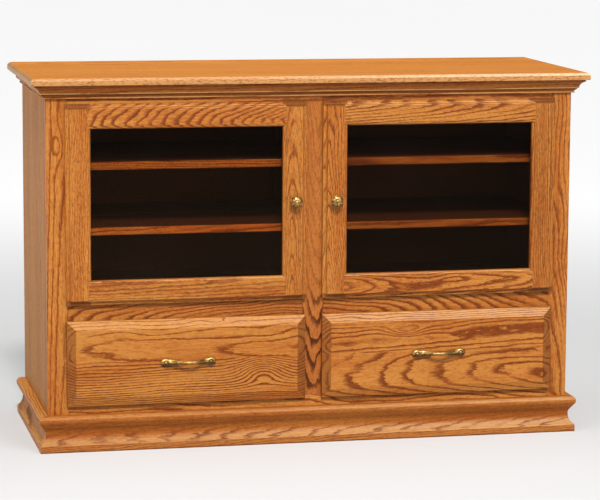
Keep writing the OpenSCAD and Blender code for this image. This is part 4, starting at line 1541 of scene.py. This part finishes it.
@dataclass
class Drawer:
    """One drawer with its front, box, pull and slides."""

    shop: Workshop
    side: Side
    upper: dict
    lower: dict
    joint: float = 0.222
    inside_y: float = -0.2128
    oak: Oak = Oak(pores=0.48, lacquer=0.34)
    maple: Oak = Oak(
        light=stain(232, 200, 150), mid=stain(222, 186, 132), dark=stain(206, 166, 112),
        deep=stain(176, 134, 84), contrast=0.4, pores=0.15, roughness=0.45, shade=0.7)
    pull: Pull = field(default_factory=Pull)

    @property
    def body(self) -> str:
        """The body that the drawer's pieces ride on."""
        return f"{self.side.word}_drawer"

    def build(self) -> None:
        """Makes every piece of the drawer and its slides."""
        self.box()
        self.hardware()

    def box(self) -> None:
        """Makes the front, the sides, the ends and the bottom."""
        shop, body = self.shop, self.body
        upper = cut_of(f"{body}_upper_board", shop.nodes[f"{body}_front"], **self.upper)

        def glued(name: str, lower: Cut) -> bpy.types.Material:
            """Returns the material of the front, which has two boards."""
            return self.oak.jointed(name, lower, upper, self.joint)

        shop.board(f"{body}_front", body, "oak", glued, ease=0.0008, **self.lower)
        for part, along, through in (("sides", Axis.Y, Axis.X), ("ends", Axis.X, Axis.Y)):
            shop.board(f"{body}_{part}", body, "maple", self.maple.material, ease=0.0006, along=along,
                       through=through)
        ply = Plywood().material(f"{body}_bottom_ply", cut_of(body, shop.nodes[f"{body}_bottom"]))
        shop.dress(f"{body}_bottom", ply)

    def hardware(self) -> None:
        """Makes the pull and its screws, and dresses the slides."""
        shop, body, pull = self.shop, self.body, self.pull
        shop.fit(pull.make(self.side), body, "antique_brass", f"{body}_pull")
        steel = Steel().material(f"{body}_steel")
        middle = Vector((self.side.value * pull.x, self.inside_y, pull.z))
        shop.fixings(f"{body}_pull_screws", body, steel, *(
            placed(SLOTTED_SCREW.shape(), middle + Vector((x * pull.centres / 2, 0, 0)), BACK, 0.7 * x)
            for x in (-1, 1)))
        for node in (f"{body}_runners", f"{self.side.word}_slide_links"):
            shop.dress(node, steel)


@dataclass
class FixedHardware:
    """Steel that stays on the case: hinge arms, slide channels and screws."""

    shop: Workshop
    plate_x: float = 0.6058
    plate_y: float = -0.214
    plate_screw: float = 0.012

    def build(self) -> None:
        """Dresses the steel and makes the screws on the hinge plates."""
        steel = Steel().material("case_steel")
        for node in ("hinge_arms", "slide_channels"):
            self.shop.dress(node, steel)
        heads = []
        for side in Side:
            for z in HINGE_HEIGHTS:
                for up in (-1, 1):
                    place = Vector((side.value * self.plate_x, self.plate_y, z + up * self.plate_screw))
                    inward = Vector((-side.value, 0, 0))
                    heads.append(placed(SMALL_SCREW.shape(), place, inward, 0.3 * up))
        self.shop.fixings("hinge_plate_screws", "carcass", steel, *heads)


# THE STUDIO


@dataclass(frozen=True)
class Camera:
    """The photograph's camera, fitted to the outlines."""

    place: tuple[float, float, float] = (-1.4101, -6.5183, 1.4305)
    yaw: float = math.radians(13.197)
    pitch: float = math.radians(8.296)
    roll: float = math.radians(0.441)
    focal_pixels: float = 2638.1
    centre_pixels: tuple[float, float] = (339.3, 246.7)
    image: tuple[int, int] = (600, 500)
    sensor: float = 36.0
    sight: float = 200.0

    def make(self) -> None:
        """Makes the camera and lets the scene use it."""
        ahead = Vector((math.sin(self.yaw) * math.cos(self.pitch),
                        math.cos(self.yaw) * math.cos(self.pitch), -math.sin(self.pitch)))
        right = Vector((math.cos(self.yaw), -math.sin(self.yaw), 0))
        up = right.cross(ahead)
        across = right * math.cos(self.roll) + up * math.sin(self.roll)
        upward = up * math.cos(self.roll) - right * math.sin(self.roll)
        data = bpy.data.cameras.new("camera")
        data.sensor_width = self.sensor
        data.lens = self.focal_pixels * self.sensor / self.image[0]
        data.shift_x = (self.image[0] / 2 - self.centre_pixels[0]) / self.image[0]
        data.shift_y = (self.centre_pixels[1] - self.image[1] / 2) / self.image[0]
        data.clip_end = self.sight
        camera = bpy.data.objects.new("camera", data)
        turn = Matrix((across, upward, -ahead)).transposed()
        camera.matrix_world = Matrix.Translation(self.place) @ turn.to_4x4()
        bpy.context.scene.collection.objects.link(camera)
        bpy.context.scene.camera = camera


@dataclass(frozen=True)
class Softbox:
    """A square area light that looks at a point."""

    name: str
    place: tuple[float, float, float]
    aim: tuple[float, float, float]
    size: float
    power: float

    def make(self) -> None:
        """Hangs the light."""
        data = bpy.data.lights.new(self.name, "AREA")
        data.size = self.size
        data.energy = self.power
        hang(self.name, data, Vector(self.place), Vector(self.aim))


@dataclass(frozen=True)
class Window:
    """A far light that falls the same on everything, soft at its edges."""

    bearing: float = math.radians(8.0)
    height: float = math.radians(44.0)
    spread: float = math.radians(12.0)
    strength: float = 4.1
    distance: float = 6.0

    def make(self) -> None:
        """Hangs the light in front of the console."""
        data = bpy.data.lights.new("window", "SUN")
        data.angle = self.spread
        data.energy = self.strength
        level = math.cos(self.height)
        place = self.distance * Vector((-math.sin(self.bearing) * level, -math.cos(self.bearing) * level,
                                        math.sin(self.height)))
        hang("window", data, place, Vector((0, 0, 0)))


def hang(name: str, data: bpy.types.Light, place: Vector, aim: Vector) -> None:
    """Puts a light in the scene.

    Args:
        name: The light's name.
        data: The light.
        place: Where it hangs.
        aim: The point that it looks at.
    """
    light = bpy.data.objects.new(name, data)
    turn = (aim - place).to_track_quat("-Z", "Y").to_matrix().to_4x4()
    light.matrix_world = Matrix.Translation(place) @ turn
    bpy.context.scene.collection.objects.link(light)


@dataclass
class Studio:
    """The pale floor, the soft lights and the white room."""

    room: float = 0.15
    floor_radius: float = 60.0
    floor_near: float = 0.52
    floor_far: float = 0.95
    fade_from: float = 1.1
    fade_to: float = 5.0
    lights: tuple[Softbox, ...] = (
        Softbox("left_box", (-3.0, -1.3, 1.9), (-0.4, 0.0, 0.45), 1.3, 44.0),
        Softbox("right_box", (0.95, -2.6, 2.15), (0.2, 0.0, 0.35), 2.0, 48.0),
        Softbox("top_box", (0.1, -0.1, 2.7), (0.0, 0.0, 0.9), 1.6, 20.0),
    )

    def build(self) -> None:
        """Makes the camera, the lights, the room and the floor."""
        for fitting in (Camera(), Window(), *self.lights):
            fitting.make()
        scene = bpy.context.scene
        scene.view_settings.view_transform = "Standard"
        scene.world = scene.world or bpy.data.worlds.new("room")
        scene.world.use_nodes = True
        background = scene.world.node_tree.nodes["Background"]
        background.inputs["Color"].default_value = (1.0, 1.0, 1.0, 1.0)
        background.inputs["Strength"].default_value = self.room
        bm = bmesh.new()
        bmesh.ops.create_circle(bm, cap_ends=True, segments=64, radius=self.floor_radius)
        floor = settle("floor", bm, self.floor_material())

    def floor_material(self) -> bpy.types.Material:
        """Makes the floor's material, which gets lighter away from the console: painted light that evens out
        the floor, which the lamps light more near the console.

        Returns:
            The material.
        """
        shader = Shader("pale_floor")
        cloud = shader.noise(shader.place, (0.6, 0.6, 0.6), (1, 2, 3), 1.0)
        x, y, _ = shader.parts(shader.place)
        away = ((x * x + y * y) ** 0.5).step(self.fade_from, self.fade_to)
        near, far = ((tone,) * 3 for tone in (self.floor_near, self.floor_far))
        pale = shader.mix(cloud * 0.03 + away * 0.97, near, far)
        return shader.surface({"Base Color": pale, "Roughness": 0.8})


# THE CONSOLE

LEFT_DOOR = {
    "hinge_stile": dict(heart=0.03, aside=0.12, lean=0.01, ring=0.004, figure=0.6, tone=1.02),
    "latch_stile": dict(heart=0.034, aside=-0.004, lean=0.06, ring=0.0036, wild=0.7, band=0.26, figure=0.7,
                        tone=0.91),
    "top_rail": dict(heart=0.085, aside=-0.012, lean=-0.24, ring=0.0065, wild=1.1),
    "bottom_rail": dict(heart=0.09, aside=0.04, lean=0.02, ring=0.004, figure=0.6, tone=0.92),
}
RIGHT_DOOR = {
    "hinge_stile": dict(heart=0.04, aside=-0.1, lean=0.02, ring=0.0045, figure=0.8, tone=0.86),
    "latch_stile": dict(heart=0.04, aside=-0.016, lean=0.06, ring=0.004, band=0.3, figure=0.85, tone=0.95),
    "top_rail": dict(heart=0.05, aside=0.03, lean=0.1, ring=0.0065, tone=0.94),
    "bottom_rail": dict(heart=0.055, aside=0.0, lean=0.05, ring=0.0055, wild=1.3),
}
LEFT_DRAWER = {
    "upper": dict(heart=0.05, aside=0.03, lean=-0.04, ring=0.01, wild=1.2, band=0.27,
                  eye=Eye(0.07, 0.097, 0.03, 0.008, 0.012)),
    "lower": dict(heart=0.07, aside=0.05, lean=0.02, ring=0.0056, wild=1.1, figure=1.3,
                  eye=Eye(0.19, -0.03, 0.055, 0.035, 0.026)),
}
RIGHT_DRAWER = {
    "upper": dict(heart=0.05, aside=0.04, lean=0.02, ring=0.006, wild=1.1, tone=0.96,
                  eye=Eye(-0.085, 0.058, 0.05, 0.014, 0.02)),
    "lower": dict(heart=0.09, aside=-0.05, lean=-0.16, ring=0.013, wild=2.0, band=0.36, tone=0.96),
}


def main() -> None:
    """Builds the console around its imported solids."""
    logging.basicConfig(level=logging.INFO, format="%(message)s")
    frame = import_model()
    Studio().build()
    shop = Workshop(frame["nodes"])
    Case(shop).build()
    Door(shop, Side.LEFT, LEFT_DOOR).build()
    Door(shop, Side.RIGHT, RIGHT_DOOR, glass=SmokedGlass(haze=0.35)).build()
    Drawer(shop, Side.LEFT, **LEFT_DRAWER).build()
    Drawer(shop, Side.RIGHT, **RIGHT_DRAWER).build()
    FixedHardware(shop).build()
    LOG.info("%d pieces made", shop.made)


if __name__ == "__main__":
    main()
